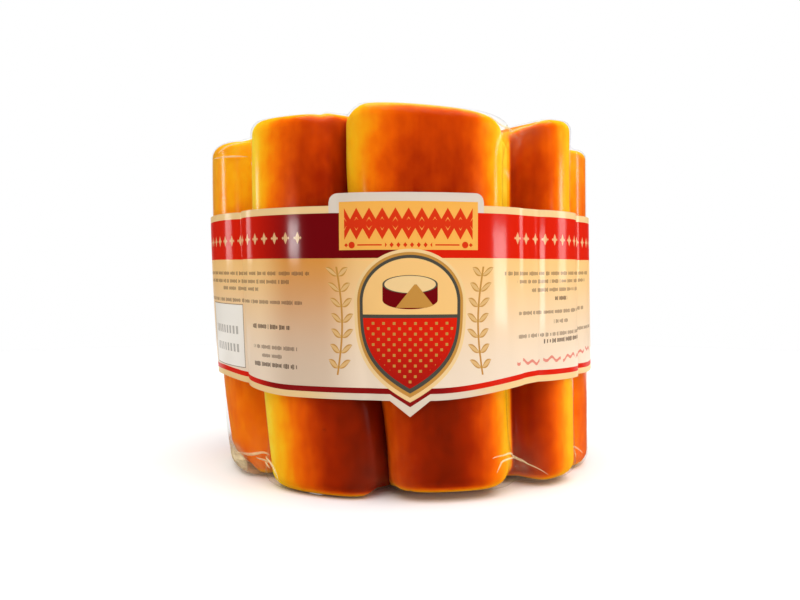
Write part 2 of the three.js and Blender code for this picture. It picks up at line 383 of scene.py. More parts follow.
    def outline(self, place: Place, share: float, depth: float, offset: float) -> Vector:
        """Point of the outline at a share of the height.

        Args:
            place: Where round the drum.
            share: Share of the height.
            depth: Share of the valleys' depth that is followed.
            offset: Distance outwards from the form.

        Returns:
            The point's x and y.
        """
        turn = math.radians(self.azimuth(place, share))
        reach = self.blended(place, lambda lobe, across: lobe.reach)
        hollow = (reach - self.valley_radius) * (1 - self.fullness(place))
        taper = 1 - self.foot_taper * (1 - share) ** self.taper_power
        radius = (reach - hollow * depth) * taper + offset
        return Vector((radius * math.sin(turn) + self.lean(share), -radius * math.cos(turn)))

    def outward(self, place: Place, share: float, depth: float) -> Vector:
        """Unit normal of the outline at a place, taken between its near neighbours."""
        step = self.normal_step
        low = Place(place.index, max(place.across - step, -1.0))
        high = Place(place.index, min(place.across + step, 1.0))
        along = self.outline(high, share, depth, 0) - self.outline(low, share, depth, 0)
        along.normalize()
        normal = Vector((along.y, -along.x))
        if abs(place.across) > 1 - step:
            turn = math.radians(self.azimuth(place, share))
            return Vector((math.sin(turn), -math.cos(turn)))
        return normal

    def top_height(self, place: Place, inward: float) -> float:
        """Height of the top face, from the middle at inward 0 to the rim at inward 1."""
        notch = self.near_valley(place).notch * abs(place.across) ** self.notch_power
        cut = notch * smoothstep(inward, self.notch_start, 1)
        flat = self.blended(place, lambda lobe, across: lobe.top + lobe.tilt * across / 2)
        return lerp(self.dish_height, flat, smoothstep(inward, 0, self.dish_share)) - cut

    def foot_height(self, place: Place, inward: float) -> float:
        """Height of the foot's face, which is flat in the middle."""
        notch = self.foot_notch * abs(place.across) ** self.notch_power
        rise = self.blended(place, lambda lobe, across: lobe.foot) + notch
        return rise * smoothstep(inward, self.disc_share, self.flat_share)


# Node writing: numbers that vary over a surface
# ----------------------------------------------


@dataclass(frozen=True)
class Relief:
    """How strongly a bump shows, and the metres that a height of 1 stands for."""

    strength: float
    distance: float


class Nodes:
    """Adds nodes to one tree with short calls."""

    def __init__(self, tree: bpy.types.NodeTree) -> None:
        """Keeps the tree that nodes are added to."""
        self.tree = tree

    def add(self, kind: str, **settings: object) -> bpy.types.Node:
        """Adds a node and sets its properties."""
        node = self.tree.nodes.new("ShaderNode" + kind)
        for name, value in settings.items():
            setattr(node, name, value)
        return node

    def join(self, value: object, socket: Socket) -> None:
        """Feeds a socket from a Field, another socket or a plain value.

        Args:
            value: What feeds it.
            socket: The input that is fed.
        """
        if isinstance(value, Field):
            value = value.socket
        if isinstance(value, Socket):
            self.tree.links.new(value, socket)
        else:
            socket.default_value = value

    def math(self, operation: str, *values: object, clamp: bool = False) -> "Field":
        """Adds a Math node and returns its result."""
        node = self.add("Math", operation=operation, use_clamp=clamp)
        for socket, value in zip(node.inputs, values):
            self.join(value, socket)
        return Field(self, node.outputs[0])

    def mix(self, factor: object, low: object, high: object) -> Socket:
        """Colour that goes from low to high as factor goes from 0 to 1."""
        node = self.add("Mix", data_type="RGBA")
        self.join(factor, node.inputs["Factor"])
        for name, value in (("A", low), ("B", high)):
            socket = next(s for s in node.inputs if s.name == name and s.type == "RGBA")
            self.join((*value, 1.0) if isinstance(value, tuple) else value, socket)
        return next(s for s in node.outputs if s.type == "RGBA")

    def noise(self, place: object, scale: float, detail: float, rough: float = 0.5) -> "Field":
        """Noise of a scale and detail over a place."""
        node = self.add("TexNoise")
        self.join(place, node.inputs["Vector"])
        node.inputs["Scale"].default_value = scale
        node.inputs["Detail"].default_value = detail
        node.inputs["Roughness"].default_value = rough
        return Field(self, node.outputs["Fac"])

    def grain(self, place: object, fineness: float, spread: float) -> tuple["Field", "Field"]:
        """Fine and broad grain about zero, from the group that all finishes share.

        Args:
            place: The coordinates that the grain follows.
            fineness: How many grains there are in a metre.
            spread: How many times as large the broad grain is.

        Returns:
            The fine grain and the broad grain.
        """
        node = self.tree.nodes.new("ShaderNodeGroup")
        node.node_tree = surface_grain()
        self.join(place, node.inputs["Place"])
        self.join(fineness, node.inputs["Fineness"])
        self.join(spread, node.inputs["Spread"])
        return Field(self, node.outputs["Fine"]), Field(self, node.outputs["Broad"])

    def raised(self, height: object, relief: Relief) -> Socket:
        """Normal of a surface that a height raises."""
        bump = self.add("Bump")
        bump.inputs["Strength"].default_value = relief.strength
        bump.inputs["Distance"].default_value = relief.distance
        self.join(height, bump.inputs["Height"])
        return bump.outputs["Normal"]

    def ramp(self, factor: object, stops: tuple[tuple[float, Colour], ...]) -> Socket:
        """Colour read off a ramp of stops."""
        node = self.add("ValToRGB")
        elements = node.color_ramp.elements
        while len(elements) < len(stops):
            elements.new(0.5)
        for element, (position, colour) in zip(elements, stops):
            element.position = position
            element.color = (*colour, 1.0)
        self.join(factor, node.inputs["Fac"])
        return node.outputs["Color"]

    def stretched(self, scale: tuple[float, float, float]) -> Socket:
        """Object coordinates with each axis scaled."""
        coordinates = self.add("TexCoord")
        mapping = self.add("Mapping")
        mapping.inputs["Scale"].default_value = scale
        self.join(coordinates.outputs["Object"], mapping.inputs["Vector"])
        return mapping.outputs["Vector"]


@dataclass(frozen=True)
class Field:
    """A number that varies over a surface, with arithmetic that adds nodes."""

    nodes: Nodes
    socket: Socket

    def __add__(self, other: object) -> "Field":
        """Sum."""
        return self.nodes.math("ADD", self, other)

    def __sub__(self, other: object) -> "Field":
        """Difference."""
        return self.nodes.math("SUBTRACT", self, other)

    def __rsub__(self, other: float) -> "Field":
        """Difference from a plain number."""
        return self.nodes.math("SUBTRACT", other, self)

    def __mul__(self, other: object) -> "Field":
        """Product."""
        return self.nodes.math("MULTIPLY", self, other)

    def __truediv__(self, other: object) -> "Field":
        """Quotient."""
        return self.nodes.math("DIVIDE", self, other)

    def __abs__(self) -> "Field":
        """Size without its sign."""
        return self.nodes.math("ABSOLUTE", self)

    def __lt__(self, other: object) -> "Field":
        """1 where it is below the other, else 0."""
        return self.nodes.math("LESS_THAN", self, other)

    def __gt__(self, other: object) -> "Field":
        """1 where it is above the other, else 0."""
        return self.nodes.math("GREATER_THAN", self, other)

    def __or__(self, other: "Field") -> "Field":
        """The larger of two masks."""
        return self.nodes.math("MAXIMUM", self, other)

    def floor(self) -> "Field":
        """Whole part."""
        return self.nodes.math("FLOOR", self)

    def fraction(self) -> "Field":
        """Part past the point."""
        return self.nodes.math("FRACT", self)

    def within(self, low: float, high: float) -> "Field":
        """1 between low and high, else 0."""
        return (self > low) * (self < high)

    def rising(self, low: float, high: float) -> "Field":
        """Smooth rise from 0 at low to 1 at high."""
        node = self.nodes.add("MapRange", interpolation_type="SMOOTHSTEP")
        node.inputs["From Min"].default_value = low
        node.inputs["From Max"].default_value = high
        self.nodes.join(self, node.inputs["Value"])
        return Field(self.nodes, node.outputs["Result"])

    def zone(self, start: float, full: float, fading: float, end: float) -> "Field":
        """Smooth rise to 1 from start to full, and smooth fall from fading to end."""
        return self.rising(start, full) * (1.0 - self.rising(fading, end))


def surface_grain() -> bpy.types.NodeTree:
    """The node group of even grain that rind, paper and film share, built on its first use.

    Returns:
        The group. Its Place, Fineness and Spread go in, and its Fine and Broad grain come out.
    """
    name = "surface_grain"
    if name in bpy.data.node_groups:
        return bpy.data.node_groups[name]
    tree = bpy.data.node_groups.new(name, "ShaderNodeTree")
    for label, kind in (("Place", "Vector"), ("Fineness", "Float"), ("Spread", "Float")):
        tree.interface.new_socket(label, in_out="INPUT", socket_type=f"NodeSocket{kind}")
    for label in ("Fine", "Broad"):
        tree.interface.new_socket(label, in_out="OUTPUT", socket_type="NodeSocketFloat")
    nodes = Nodes(tree)
    given = tree.nodes.new("NodeGroupInput").outputs
    result = tree.nodes.new("NodeGroupOutput").inputs
    fineness = Field(nodes, given["Fineness"])
    for label, scale in (("Fine", fineness), ("Broad", fineness / Field(nodes, given["Spread"]))):
        cloud = nodes.noise(given["Place"], 1.0, 3)
        nodes.join(scale, cloud.socket.node.inputs["Scale"])
        nodes.join(cloud - 0.5, result[label])
    return tree


def new_material(name: str) -> tuple[bpy.types.Material, Nodes, bpy.types.Node, bpy.types.Node]:
    """Starts a material.

    Args:
        name: The material's name.

    Returns:
        The material, its nodes, its Principled shader and its output.
    """
    material = bpy.data.materials.new(name)
    material.use_nodes = True
    tree = material.node_tree
    tree.nodes.clear()
    nodes = Nodes(tree)
    shader = nodes.add("BsdfPrincipled")
    output = nodes.add("OutputMaterial")
    tree.links.new(shader.outputs[0], output.inputs["Surface"])
    return material, nodes, shader, output


# Finishes
# --------


@dataclass(frozen=True)
class Spots:
    """Small sparse spots: how many cells a metre has, and the share of them that holds a spot.

    size is a spot's radius as a share of a cell, and edge is where it fades, in radii.
    """

    cells: float
    size: float
    share: float
    strength: float
    colour: Colour
    edge: Pair = (0.6, 1.6)

    def mask(self, nodes: Nodes) -> Field:
        """1 inside the spots, else 0."""
        cells = nodes.add("TexVoronoi")
        nodes.join(nodes.stretched((1, 1, 1)), cells.inputs["Vector"])
        cells.inputs["Scale"].default_value = self.cells
        dice = nodes.add("SeparateColor")
        nodes.join(cells.outputs["Color"], dice.inputs["Color"])
        chosen = Field(nodes, dice.outputs["Red"]) < self.share
        inner, outer = self.edge
        away = Field(nodes, cells.outputs["Distance"])
        outside = away.rising(self.size * inner, self.size * outer)
        return (1.0 - outside) * chosen


@dataclass(frozen=True)
class SmokedRind:
    """Smoked rind: butter yellow in the valleys, through amber to chestnut on the crests. The depth
    it reads also holds painted shade and painted light, so its darkest stops paint shaded walls and
    its palest stops also paint flanks lit from the sides.
    """

    stops: tuple[tuple[float, Colour], ...] = (
        (0.0, (1.0, 0.74, 0.05)),
        (0.1, (1.0, 0.56, 0.014)),
        (0.25, (1.0, 0.37, 0.005)),
        (0.38, (0.93, 0.185, 0.0022)),
        (0.5, (0.77, 0.097, 0.0012)),
        (0.62, (0.56, 0.048, 0.0008)),
        (0.76, (0.33, 0.0175, 0.0006)),
        (1.0, (0.105, 0.0046, 0.0004)),
    )
    roughness: float = 0.5
    specular: float = 0.0
    scatter: float = 0.1
    scatter_radius: Colour = (0.003, 0.001, 0.0003)
    mottle_stretch: float = 0.7
    mottle_grain: Pair = (250, 4.5)
    mottle_stain: float = 0.2
    patch_stain: float = 0.09
    streak_stretch: float = 0.06
    streak_grain: float = 420
    streak_stain: float = 0.08
    streak_gloss: float = 0.12
    streak_relief: float = 0.4
    mottle_relief: float = 0.6
    pit_relief: float = 1.5
    pits: Spots = Spots(75, 0.045, 0.3, 0.6, (0.10, 0.008, 0.002))
    # Pale specks, partly flecks in the rind and partly painted glints.
    flecks_and_glints: Spots = Spots(48, 0.02, 0.22, 0.8, (0.95, 0.45, 0.06))
    relief: Relief = Relief(0.5, 0.0004)

    def material(self) -> bpy.types.Material:
        """Makes the material, which reads the piece's own attribute of smoke with painted shade and
        light.
        """
        material, nodes, shader, _ = new_material("smoked_rind")
        smoke = nodes.add("Attribute", attribute_name="smoke").outputs["Fac"]
        place = nodes.stretched((1, 1, self.mottle_stretch))
        mottle, patches = nodes.grain(place, *self.mottle_grain)
        place = nodes.stretched((1, 1, self.streak_stretch))
        streaks = nodes.noise(place, self.streak_grain, 2) - 0.5
        depth = Field(nodes, smoke) + patches * self.patch_stain
        depth = depth + streaks * self.streak_stain + mottle * self.mottle_stain
        rind = nodes.ramp(depth, self.stops)
        pit, fleck_and_glint = self.pits.mask(nodes), self.flecks_and_glints.mask(nodes)
        rind = nodes.mix(pit * self.pits.strength, rind, self.pits.colour)
        rind = nodes.mix(fleck_and_glint * self.flecks_and_glints.strength, rind, self.flecks_and_glints.colour)
        nodes.join(rind, shader.inputs["Base Color"])
        nodes.join(streaks * self.streak_gloss + self.roughness, shader.inputs["Roughness"])
        height = streaks * self.streak_relief + mottle * self.mottle_relief + patches
        normal = nodes.raised(height - pit * self.pit_relief, self.relief)
        nodes.join(normal, shader.inputs["Normal"])
        shader.inputs["Specular IOR Level"].default_value = self.specular
        shader.inputs["Subsurface Weight"].default_value = self.scatter
        shader.inputs["Subsurface Radius"].default_value = self.scatter_radius
        shader.inputs["Subsurface Scale"].default_value = 1.0
        return material


@dataclass(frozen=True)
class ShrinkFilmFinish:
    """Clear shrink film: gloss that grows to the edges, and a milky haze where it is slack, tinted
    warm as painted light from the cheese behind it.

    The gloss is capped at most_gloss, and dies to end_gloss on faces whose normal's Z is past
    dull_from.
    """

    name: str = "clear_film"
    ior: float = 1.2
    gloss_share: float = 0.9
    most_gloss: float = 0.3
    end_gloss: float = 0.12
    dull_from: Pair = (0.75, 0.97)
    roughness: float = 0.16
    haze: float = 1.1
    # Painted light: the haze's warm tint stands in for the cheese's orange light coming through the
    # film.
    milk_and_glow: Colour = (1.0, 0.84, 0.48)
    stretch: float = 3.0
    ripple_grain: Pair = (300, 3)
    ripple_relief: float = 0.4
    cloud_grain: float = 100
    cloud_contrast: float = 1.6
    cloud_middle: float = 0.6
    relief: Relief = Relief(0.6, 0.0008)

    def material(self) -> bpy.types.Material:
        """Makes the material, which reads the piece's own slack attribute."""
        material, nodes, shader, output = new_material(self.name)
        tree = nodes.tree
        tree.nodes.remove(shader)
        slack = Field(nodes, nodes.add("Attribute", attribute_name="slack").outputs["Fac"])
        place = nodes.stretched((1, 1, self.stretch))
        ripple, swell = nodes.grain(place, *self.ripple_grain)
        cloud = nodes.noise(place, self.cloud_grain, 3) - 0.5
        normal = nodes.raised((swell + ripple * self.ripple_relief) * slack, self.relief)
        gloss = nodes.add("BsdfGlossy")
        gloss.inputs["Color"].default_value = (1, 1, 1, 1)
        gloss.inputs["Roughness"].default_value = self.roughness
        milk_and_glow = nodes.add("BsdfDiffuse")
        milk_and_glow.inputs["Color"].default_value = (*self.milk_and_glow, 1)
        fresnel = nodes.add("Fresnel")
        fresnel.inputs["IOR"].default_value = self.ior
        for node in (gloss, milk_and_glow, fresnel):
            nodes.join(normal, node.inputs["Normal"])
        hazy = nodes.add("MixShader")
        clouds = cloud * self.cloud_contrast + self.cloud_middle
        nodes.join(slack * clouds * self.haze, hazy.inputs["Fac"])
        clear = nodes.add("BsdfTransparent")
        tree.links.new(clear.outputs[0], hazy.inputs[1])
        tree.links.new(milk_and_glow.outputs[0], hazy.inputs[2])
        shiny = nodes.add("MixShader")
        mirror = nodes.math("MINIMUM", Field(nodes, fresnel.outputs[0]), self.most_gloss)
        nodes.join(mirror * self.seen_gloss(nodes), shiny.inputs["Fac"])
        tree.links.new(hazy.outputs[0], shiny.inputs[1])
        tree.links.new(gloss.outputs[0], shiny.inputs[2])
        tree.links.new(shiny.outputs[0], output.inputs["Surface"])
        return material

    def seen_gloss(self, nodes: Nodes) -> Field:
        """Share of the gloss that shows: none on back faces, and little on the level end faces."""
        geometry = nodes.add("NewGeometry").outputs
        normal = nodes.add("SeparateXYZ")
        nodes.join(geometry["Normal"], normal.inputs["Vector"])
        upright = 1.0 - Field(nodes, normal.outputs["Z"]).rising(*self.dull_from)
        share = upright * (1.0 - self.end_gloss) + self.end_gloss
        return share * (1.0 - Field(nodes, geometry["Backfacing"])) * self.gloss_share


@dataclass(frozen=True)
class FloorFinish:
    """Plain pale floor."""

    colour: Colour = (0.97, 0.965, 0.955)
    bounce: Colour = (0.55, 0.53, 0.5)
    mirrored: Colour = (0.12, 0.11, 0.10)
    backdrop_from: Pair = (0.12, 0.25)
    roughness: float = 0.6

    def material(self) -> bpy.types.Material:
        """Makes the material: dim as a mirror image in front, and bright behind the cheese."""
        material, nodes, shader, _ = new_material("pale_floor")
        path = nodes.add("LightPath").outputs
        parts = nodes.add("SeparateXYZ")
        nodes.join(nodes.stretched((1, 1, 1)), parts.inputs["Vector"])
        behind = Field(nodes, parts.outputs["Y"]).rising(*self.backdrop_from)
        mirrored = nodes.mix(behind, self.mirrored, self.colour)
        lit = nodes.mix(path["Is Glossy Ray"], self.bounce, mirrored)
        nodes.join(nodes.mix(path["Is Camera Ray"], lit, self.colour), shader.inputs["Base Color"])
        shader.inputs["Roughness"].default_value = self.roughness
        return material


class WordStyle(Enum):
    """How a row of words is printed: half its height in millimetres, and its ink's strength."""

    SMALL = (0.62, 0.68)
    BOLD = (0.74, 0.9)


@dataclass(frozen=True)
class WordRow:
    """A row of plain bars in place of words: its height on the band, and where it runs."""

    up: float
    start: float
    end: float
    style: WordStyle = WordStyle.SMALL


@dataclass(frozen=True)
class Panel:
    """A rectangle of the print, by its edges in millimetres."""

    left: float
    right: float
    low: float
    high: float


@dataclass(frozen=True)
class FlatBand:
    """The flat band in millimetres: the length along it, and the height on it."""

    nodes: Nodes
    across: Field
    up: Field

    def inside(self, panel: Panel, margin: float = 0.0) -> Field:
        """1 inside a panel that is drawn out by a margin, else 0."""
        wide = self.across.within(panel.left - margin, panel.right + margin)
        return wide * self.up.within(panel.low - margin, panel.high + margin)

    def sine(self, angle: Field) -> Field:
        """Sine of an angle in radians."""
        return self.nodes.math("SINE", angle)


@dataclass(frozen=True)
class Lettering:
    """Letter-like bars of uneven height, with gaps between words.

    pitch is a letter's width as a share of the row's half height, and stroke is the inked part of
    it. Heights run from least up by spread, skipped is the share of letters left out, and a word
    with its gap is word millimetres long.
    """

    pitch: float = 0.8
    stroke: Pair = (0.06, 0.84)
    least: float = 0.6
    spread: float = 0.45
    skipped: float = 0.07
    word: float = 4.7
    word_gap: float = 0.13
    row_shift: float = 0.37
    row_seed: float = 37.0

    def bars(self, flat: FlatBand, row: WordRow) -> Field:
        """Mask of one row, as strong as the row's ink.

        Args:
            flat: The flat band.
            row: The row.

        Returns:
            The mask.
        """
        half, strength = row.style.value
        cell = flat.across / (half * self.pitch)
        dice = flat.nodes.add("TexWhiteNoise", noise_dimensions="1D")
        flat.nodes.join(cell.floor() + row.up * self.row_seed + row.start, dice.inputs["W"])
        chance = Field(flat.nodes, dice.outputs["Value"])
        tall = abs(flat.up - row.up) < (chance * self.spread + self.least) * half
        stroke = cell.fraction().within(*self.stroke) * (chance > self.skipped)
        word = (flat.across / self.word + row.up * self.row_shift).fraction() > self.word_gap
        return tall * stroke * word * flat.across.within(row.start, row.end) * strength


@dataclass(frozen=True)
class DateBox:
    """A white box in a thin frame, with rows of plain blocks."""

    panel: Panel = Panel(-84.0, -61.0, 6.0, 25.9)
    frame: float = 0.25
    frame_ink: float = 0.7
    rows: tuple[Pair, Pair] = ((10.6, 13.2), (16.4, 19.0))
    margins: Pair = (3.0, 2.0)
    pitch: float = 2.1
    block: Pair = (0.2, 0.75)
    ink: float = 0.5

    def blocks(self, flat: FlatBand) -> Field:
        """Mask of the blocks, as strong as their ink."""
        first, second = (flat.up.within(*row) for row in self.rows)
        before, after = self.margins
        blocks = (first | second) * (flat.across / self.pitch).fraction().within(*self.block)
        within = flat.across.within(self.panel.left + before, self.panel.right - after)
        return blocks * within * self.ink


@dataclass(frozen=True)
class RuledTable:
    """A framed table of ruled lines, with a name and a number as bars on each line.

    name runs from the left edge, and number from the right one.
    """

    panel: Panel = Panel(112.0, 158.0, 7.0, 36.0)
    frame: float = 0.3
    lines: int = 9
    rule: float = 0.07
    bar: Pair = (0.38, 0.66)
    name: Pair = (2.0, 19.0)
    number: Pair = (13.0, 6.0)
    ink: float = 0.6

    def mask(self, flat: FlatBand) -> Field:
        """Mask of the table, as strong as its ink."""
        panel = self.panel
        inside = flat.inside(panel)
        edge = inside * (1.0 - flat.inside(panel, -self.frame))
        level = ((flat.up - panel.low) / ((panel.high - panel.low) / self.lines)).fraction()
        name = flat.across.within(*(panel.left + inset for inset in self.name))
        number = flat.across.within(*(panel.right - inset for inset in self.number))
        bars = level.within(*self.bar) * (name | number)
        return (edge | inside * ((level < self.rule) | bars)) * self.ink


@dataclass(frozen=True)
class WordBlock:
    """A block of bars: letter and word each hold a length, and the inked share or the gap."""

    panel: Panel = Panel(-165.0, -115.0, 9.0, 36.0)
    pitch: float = 3.0
    bar: Pair = (0.3, 0.62)
    letter: Pair = (0.9, 0.82)
    word: Pair = (7.7, 0.12)
    row_shift: float = 0.37
    ink: float = 0.55

    def mask(self, flat: FlatBand) -> Field:
        """Mask of the block, as strong as its ink."""
        line = (flat.up - self.panel.low) / self.pitch
        length, inked = self.letter
        letter = (flat.across / length).fraction() < inked
        length, gap = self.word
        word = (flat.across / length + line.floor() * self.row_shift).fraction() > gap
        rows = line.fraction().within(*self.bar)
        return rows * letter * word * flat.inside(self.panel) * self.ink


@dataclass(frozen=True)
class Sprig:
    """A leafy sprig: its foot and tip, the pitch and length of its leaves, and how it bows."""

    low: float = 7.0
    high: float = 38.0
    pitch: float = 4.4
    length: float = 3.4
    aside: float = 6.2
    bow: float = 1.6
    lift: float = 0.16
    middle: float = 0.45
    leaf_width: float = 0.24
    leaf_ink: float = 0.95
    vein_width: float = 0.13
    vein_ink: float = 0.55
    stem: float = 0.28
    bare: float = 1.3


@dataclass(frozen=True)
class Frieze:
    """The tab's trellis, over a rule with a row of dots between two ends."""

    level: float = 7.4
    cells: int = 5
    margin: float = 1.6
    swing: float = 3.2
    half: float = 1.3
    knot: Pair = (1.3, 1.6)
    crossing: Pair = (1.2, 1.5)
    rule_level: float = 1.4
    rule: Pair = (7.5, 14.5)
    rule_half: float = 0.2
    dots_to: float = 6.6
    dot_pitch: float = 1.9
    dot: Pair = (0.6, 0.75)
    end: Pair = (16.2, 0.9)
    tail: Pair = (17.9, 0.6)
    ink: float = 0.95


@dataclass(frozen=True)
class Medallion:
    """The round-topped, pointed medallion, by its middle, the level of its shoulders and its size.

    rings are the insets of its rings, and split is where the tan half meets the red one. The tip
    is drawn in by tip_inset times as much, and the two halves overlap at the shoulders.
    """

    middle: float = 2.2
    level: float = 28.0
    half_width: float = 15.2
    rise: float = 14.1
    drop: float = 27.0
    power: float = 3.3
    rings: tuple[float, float, float, float] = (-0.9, 0.0, 0.8, 1.7)
    split: float = -4.0
    split_half: float = 0.5
    tip_inset: float = 1.5
    overlap: float = 0.0001
    shade_from: Pair = (-24.0, -6.0)
    shade: float = 0.55
    squares: float = 3.0
    square_half: float = 0.26
    squares_inset: float = 2.6
    squares_below: float = -5.2
    wheel_level: float = 2.8

    def inside(self, nodes: Nodes, x: Field, y: Field, inset: float) -> Field:
        """Mask of the medallion drawn in by an inset.

        Args:
            nodes: Where the nodes go.
            x: Length aside from the middle.
            y: Height over the shoulders.
            inset: How far it is drawn in.

        Returns:
            The mask.
        """
        rise, drop = nodes.math("MAXIMUM", y, 0.0), nodes.math("MAXIMUM", y * -1.0, 0.0)
        wide, tall = self.half_width - inset, self.rise - inset
        deep = self.drop - inset * self.tip_inset
        arch = x * x / wide**2 + rise * rise / tall**2 < 1.0
        foot = x / wide + nodes.math("POWER", drop / deep, self.power) < 1.0
        return arch * (y > 0.0) | foot * (y < self.overlap)


@dataclass(frozen=True)
class Wheel:
    """A plain cheese wheel with a wedge cut out.

    half is half its width, flat is half the depth of its face, and tall is the height of its wall.
    """

    half: float = 7.8
    flat: float = 2.6
    tall: float = 4.4
    face: float = 0.86
    wedge_aside: float = 1.5
    wedge_over: float = 0.4
    wedge_slope: float = 0.8
    wedge_under: float = 2.2
    wedge_foot: float = 1.05


@dataclass(frozen=True)
class PrintedPaper:
    """Coated paper with a generic print, laid out in millimetres on the flat band.

    Lengths run along the band from the middle of the front, and heights rise from a level line.
    The lower edge dips under that line in front, and "above" is the rise from that edge. A zone's
    four lengths say where it starts and is full, and where it starts to end and is gone.
    """

    height: float
    tab: Pair
    point: Pair
    cream: Colour = (0.82, 0.57, 0.27)
    # white is white paper painted darker, as painted shade on the front of the band; bright is the
    # same paper as lit, in the date box.
    white: Colour = (0.68, 0.59, 0.50)
    bright: Colour = (0.86, 0.82, 0.75)
    paper: Colour = (0.81, 0.66, 0.51)
    tan: Colour = (0.86, 0.52, 0.19)
    # Painted shade: the paper and the tan as they look in shade, used left of the medallion.
    deep_paper: Colour = (0.65, 0.50, 0.37)
    deep_tan: Colour = (0.66, 0.27, 0.045)
    panel_tan: Colour = (0.87, 0.42, 0.08)
    red: Colour = (0.66, 0.014, 0.003)
    maroon: Colour = (0.155, 0.002, 0.004)
    gold: Colour = (0.52, 0.25, 0.05)
    steel: Colour = (0.07, 0.065, 0.05)
    ink: Colour = (0.08, 0.047, 0.03)
    roughness: float = 0.4
    coat: float = 0.28
    coat_roughness: float = 0.11
    relief: Relief = Relief(0.3, 0.0006)
    fibre_stretch: float = 0.35
    fibre_grain: Pair = (350, 4)
    fibre_gloss: float = 0.1
    fibre_relief: float = 0.05
    tan_from: float = 4.0
    # Where the painted shade lies along the band.
    painted_shade_zone: Zone = (-48.0, -34.0, -24.0, -12.0)
    top_border: float = 2.1
    low_border: float = 1.9
    low_line: float = 1.6
    tip_border: float = 0.9
    maroon_zone: Zone = (-54.0, -40.0, 10.0, 24.0)
    white_zone: Zone = (-32.0, -12.0, 14.0, 32.0)
    edge_change: float = 0.85
    stripe: Pair = (40.4, 53.3)
    # Where the stripe's painted shade grows, left of the tab.
    stripe_shade: Pair = (-58.0, -27.0)
    lozenges_beside: Pair = (-30.0, 34.0)
    lozenge_level: float = 6.0
    lozenges: tuple[tuple[float, float, float], ...] = ((4.2, 0.85, 1.8), (2.1, 0.3, 0.45))
    lozenge_ink: float = 0.75
    panel: Panel = Panel(-18.3, 21.8, 42.7, 56.4)
    frieze: Frieze = Frieze()
    medal: Medallion = Medallion()
    wheel: Wheel = Wheel()
    sprig: Sprig = Sprig()
    lettering: Lettering = Lettering()
    rows: tuple[WordRow, ...] = (
        WordRow(36.0, -92.0, -27.7),
        WordRow(33.5, -88.0, -34.3),
        WordRow(31.2, -72.0, -47.4),
        WordRow(27.4, -92.0, -30.2),
        WordRow(20.0, -50.9, -34.7, WordStyle.BOLD),
        WordRow(13.8, -50.9, -32.4),
        WordRow(11.2, -46.8, -38.1),
        WordRow(8.5, -50.9, -32.5, WordStyle.BOLD),
        WordRow(36.0, 30.5, 87.4),
        WordRow(33.6, 35.5, 84.0),
        WordRow(31.0, 42.5, 78.4),
        WordRow(28.3, 52.6, 59.6, WordStyle.BOLD),
        WordRow(24.2, 36.4, 82.9),
        WordRow(21.2, 52.2, 60.9),
        WordRow(17.3, 35.6, 91.9),
        WordRow(15.3, 47.9, 78.7, WordStyle.BOLD),
    )
    script_row: WordRow = WordRow(9.5, 35.7, 90.8)
    script_waves: tuple[Pair, ...] = ((1.5, 0.5), (0.53, 0.4))
    script_half: float = 0.45
    script_word: float = 9.3
    script_gap: float = 0.14
    script_ink: float = 0.65
    date_box: DateBox = DateBox()
    table: RuledTable = RuledTable()
    far_block: WordBlock = WordBlock()

    def material(self) -> bpy.types.Material:
        """Makes the material from the print's fields, one over the other."""
        material, nodes, shader, _ = new_material("printed_paper")
        plan = nodes.add("UVMap", uv_map="print")
        parts = nodes.add("SeparateXYZ")
        nodes.join(plan.outputs["UV"], parts.inputs["Vector"])
        across = Field(nodes, parts.outputs["X"]) * MM_A_METRE
        up = Field(nodes, parts.outputs["Y"]) * MM_A_METRE
        edge = nodes.add("Attribute", attribute_name="above_edge").outputs["Fac"]
        flat = FlatBand(nodes, across, up)
        colour = self.ground(flat)
        for layer in (self.words, self.boxes, self.sprigs, self.red_stripe, self.tab_panel):
            colour = layer(flat, colour)
        colour = self.edging(flat, Field(nodes, edge) * MM_A_METRE, colour)
        colour = self.medallion(flat, colour)
        nodes.join(colour, shader.inputs["Base Color"])
        fibre, waves = nodes.grain(nodes.stretched((1, 1, self.fibre_stretch)), *self.fibre_grain)
        nodes.join(fibre * self.fibre_gloss + self.roughness, shader.inputs["Roughness"])
        normal = nodes.raised(waves + fibre * self.fibre_relief, self.relief)
        nodes.join(normal, shader.inputs["Normal"])
        shader.inputs["Specular IOR Level"].default_value = 0.0
        shader.inputs["Coat Weight"].default_value = self.coat
        shader.inputs["Coat Roughness"].default_value = self.coat_roughness
        return material

    def ground(self, flat: FlatBand) -> Socket:
        """The paper, which turns tan upwards, with painted shade left of the medallion where the
        band lies on a shaded flank.
        """
        rise = flat.up.rising(self.tan_from, self.stripe[0] + self.tan_from)
        light = flat.nodes.mix(rise, self.paper, self.tan)
        # The same paper and tan with painted shade.
        deep = flat.nodes.mix(rise, self.deep_paper, self.deep_tan)
        return flat.nodes.mix(flat.across.zone(*self.painted_shade_zone), light, deep)

    def words(self, flat: FlatBand, under: object) -> Socket:
        """Rows of bars in place of small print, and a wavy red line in place of a motto."""
        colour = under
        for row in self.rows:
            colour = flat.nodes.mix(self.lettering.bars(flat, row), colour, self.ink)
        row = self.script_row
        level = flat.up - row.up
        for frequency, height in self.script_waves:
            level = level - flat.sine(flat.across * frequency) * height
        gap = (flat.across / self.script_word).fraction() > self.script_gap
        line = (abs(level) < self.script_half) * gap * flat.across.within(row.start, row.end)
        return flat.nodes.mix(line * self.script_ink, colour, self.red)

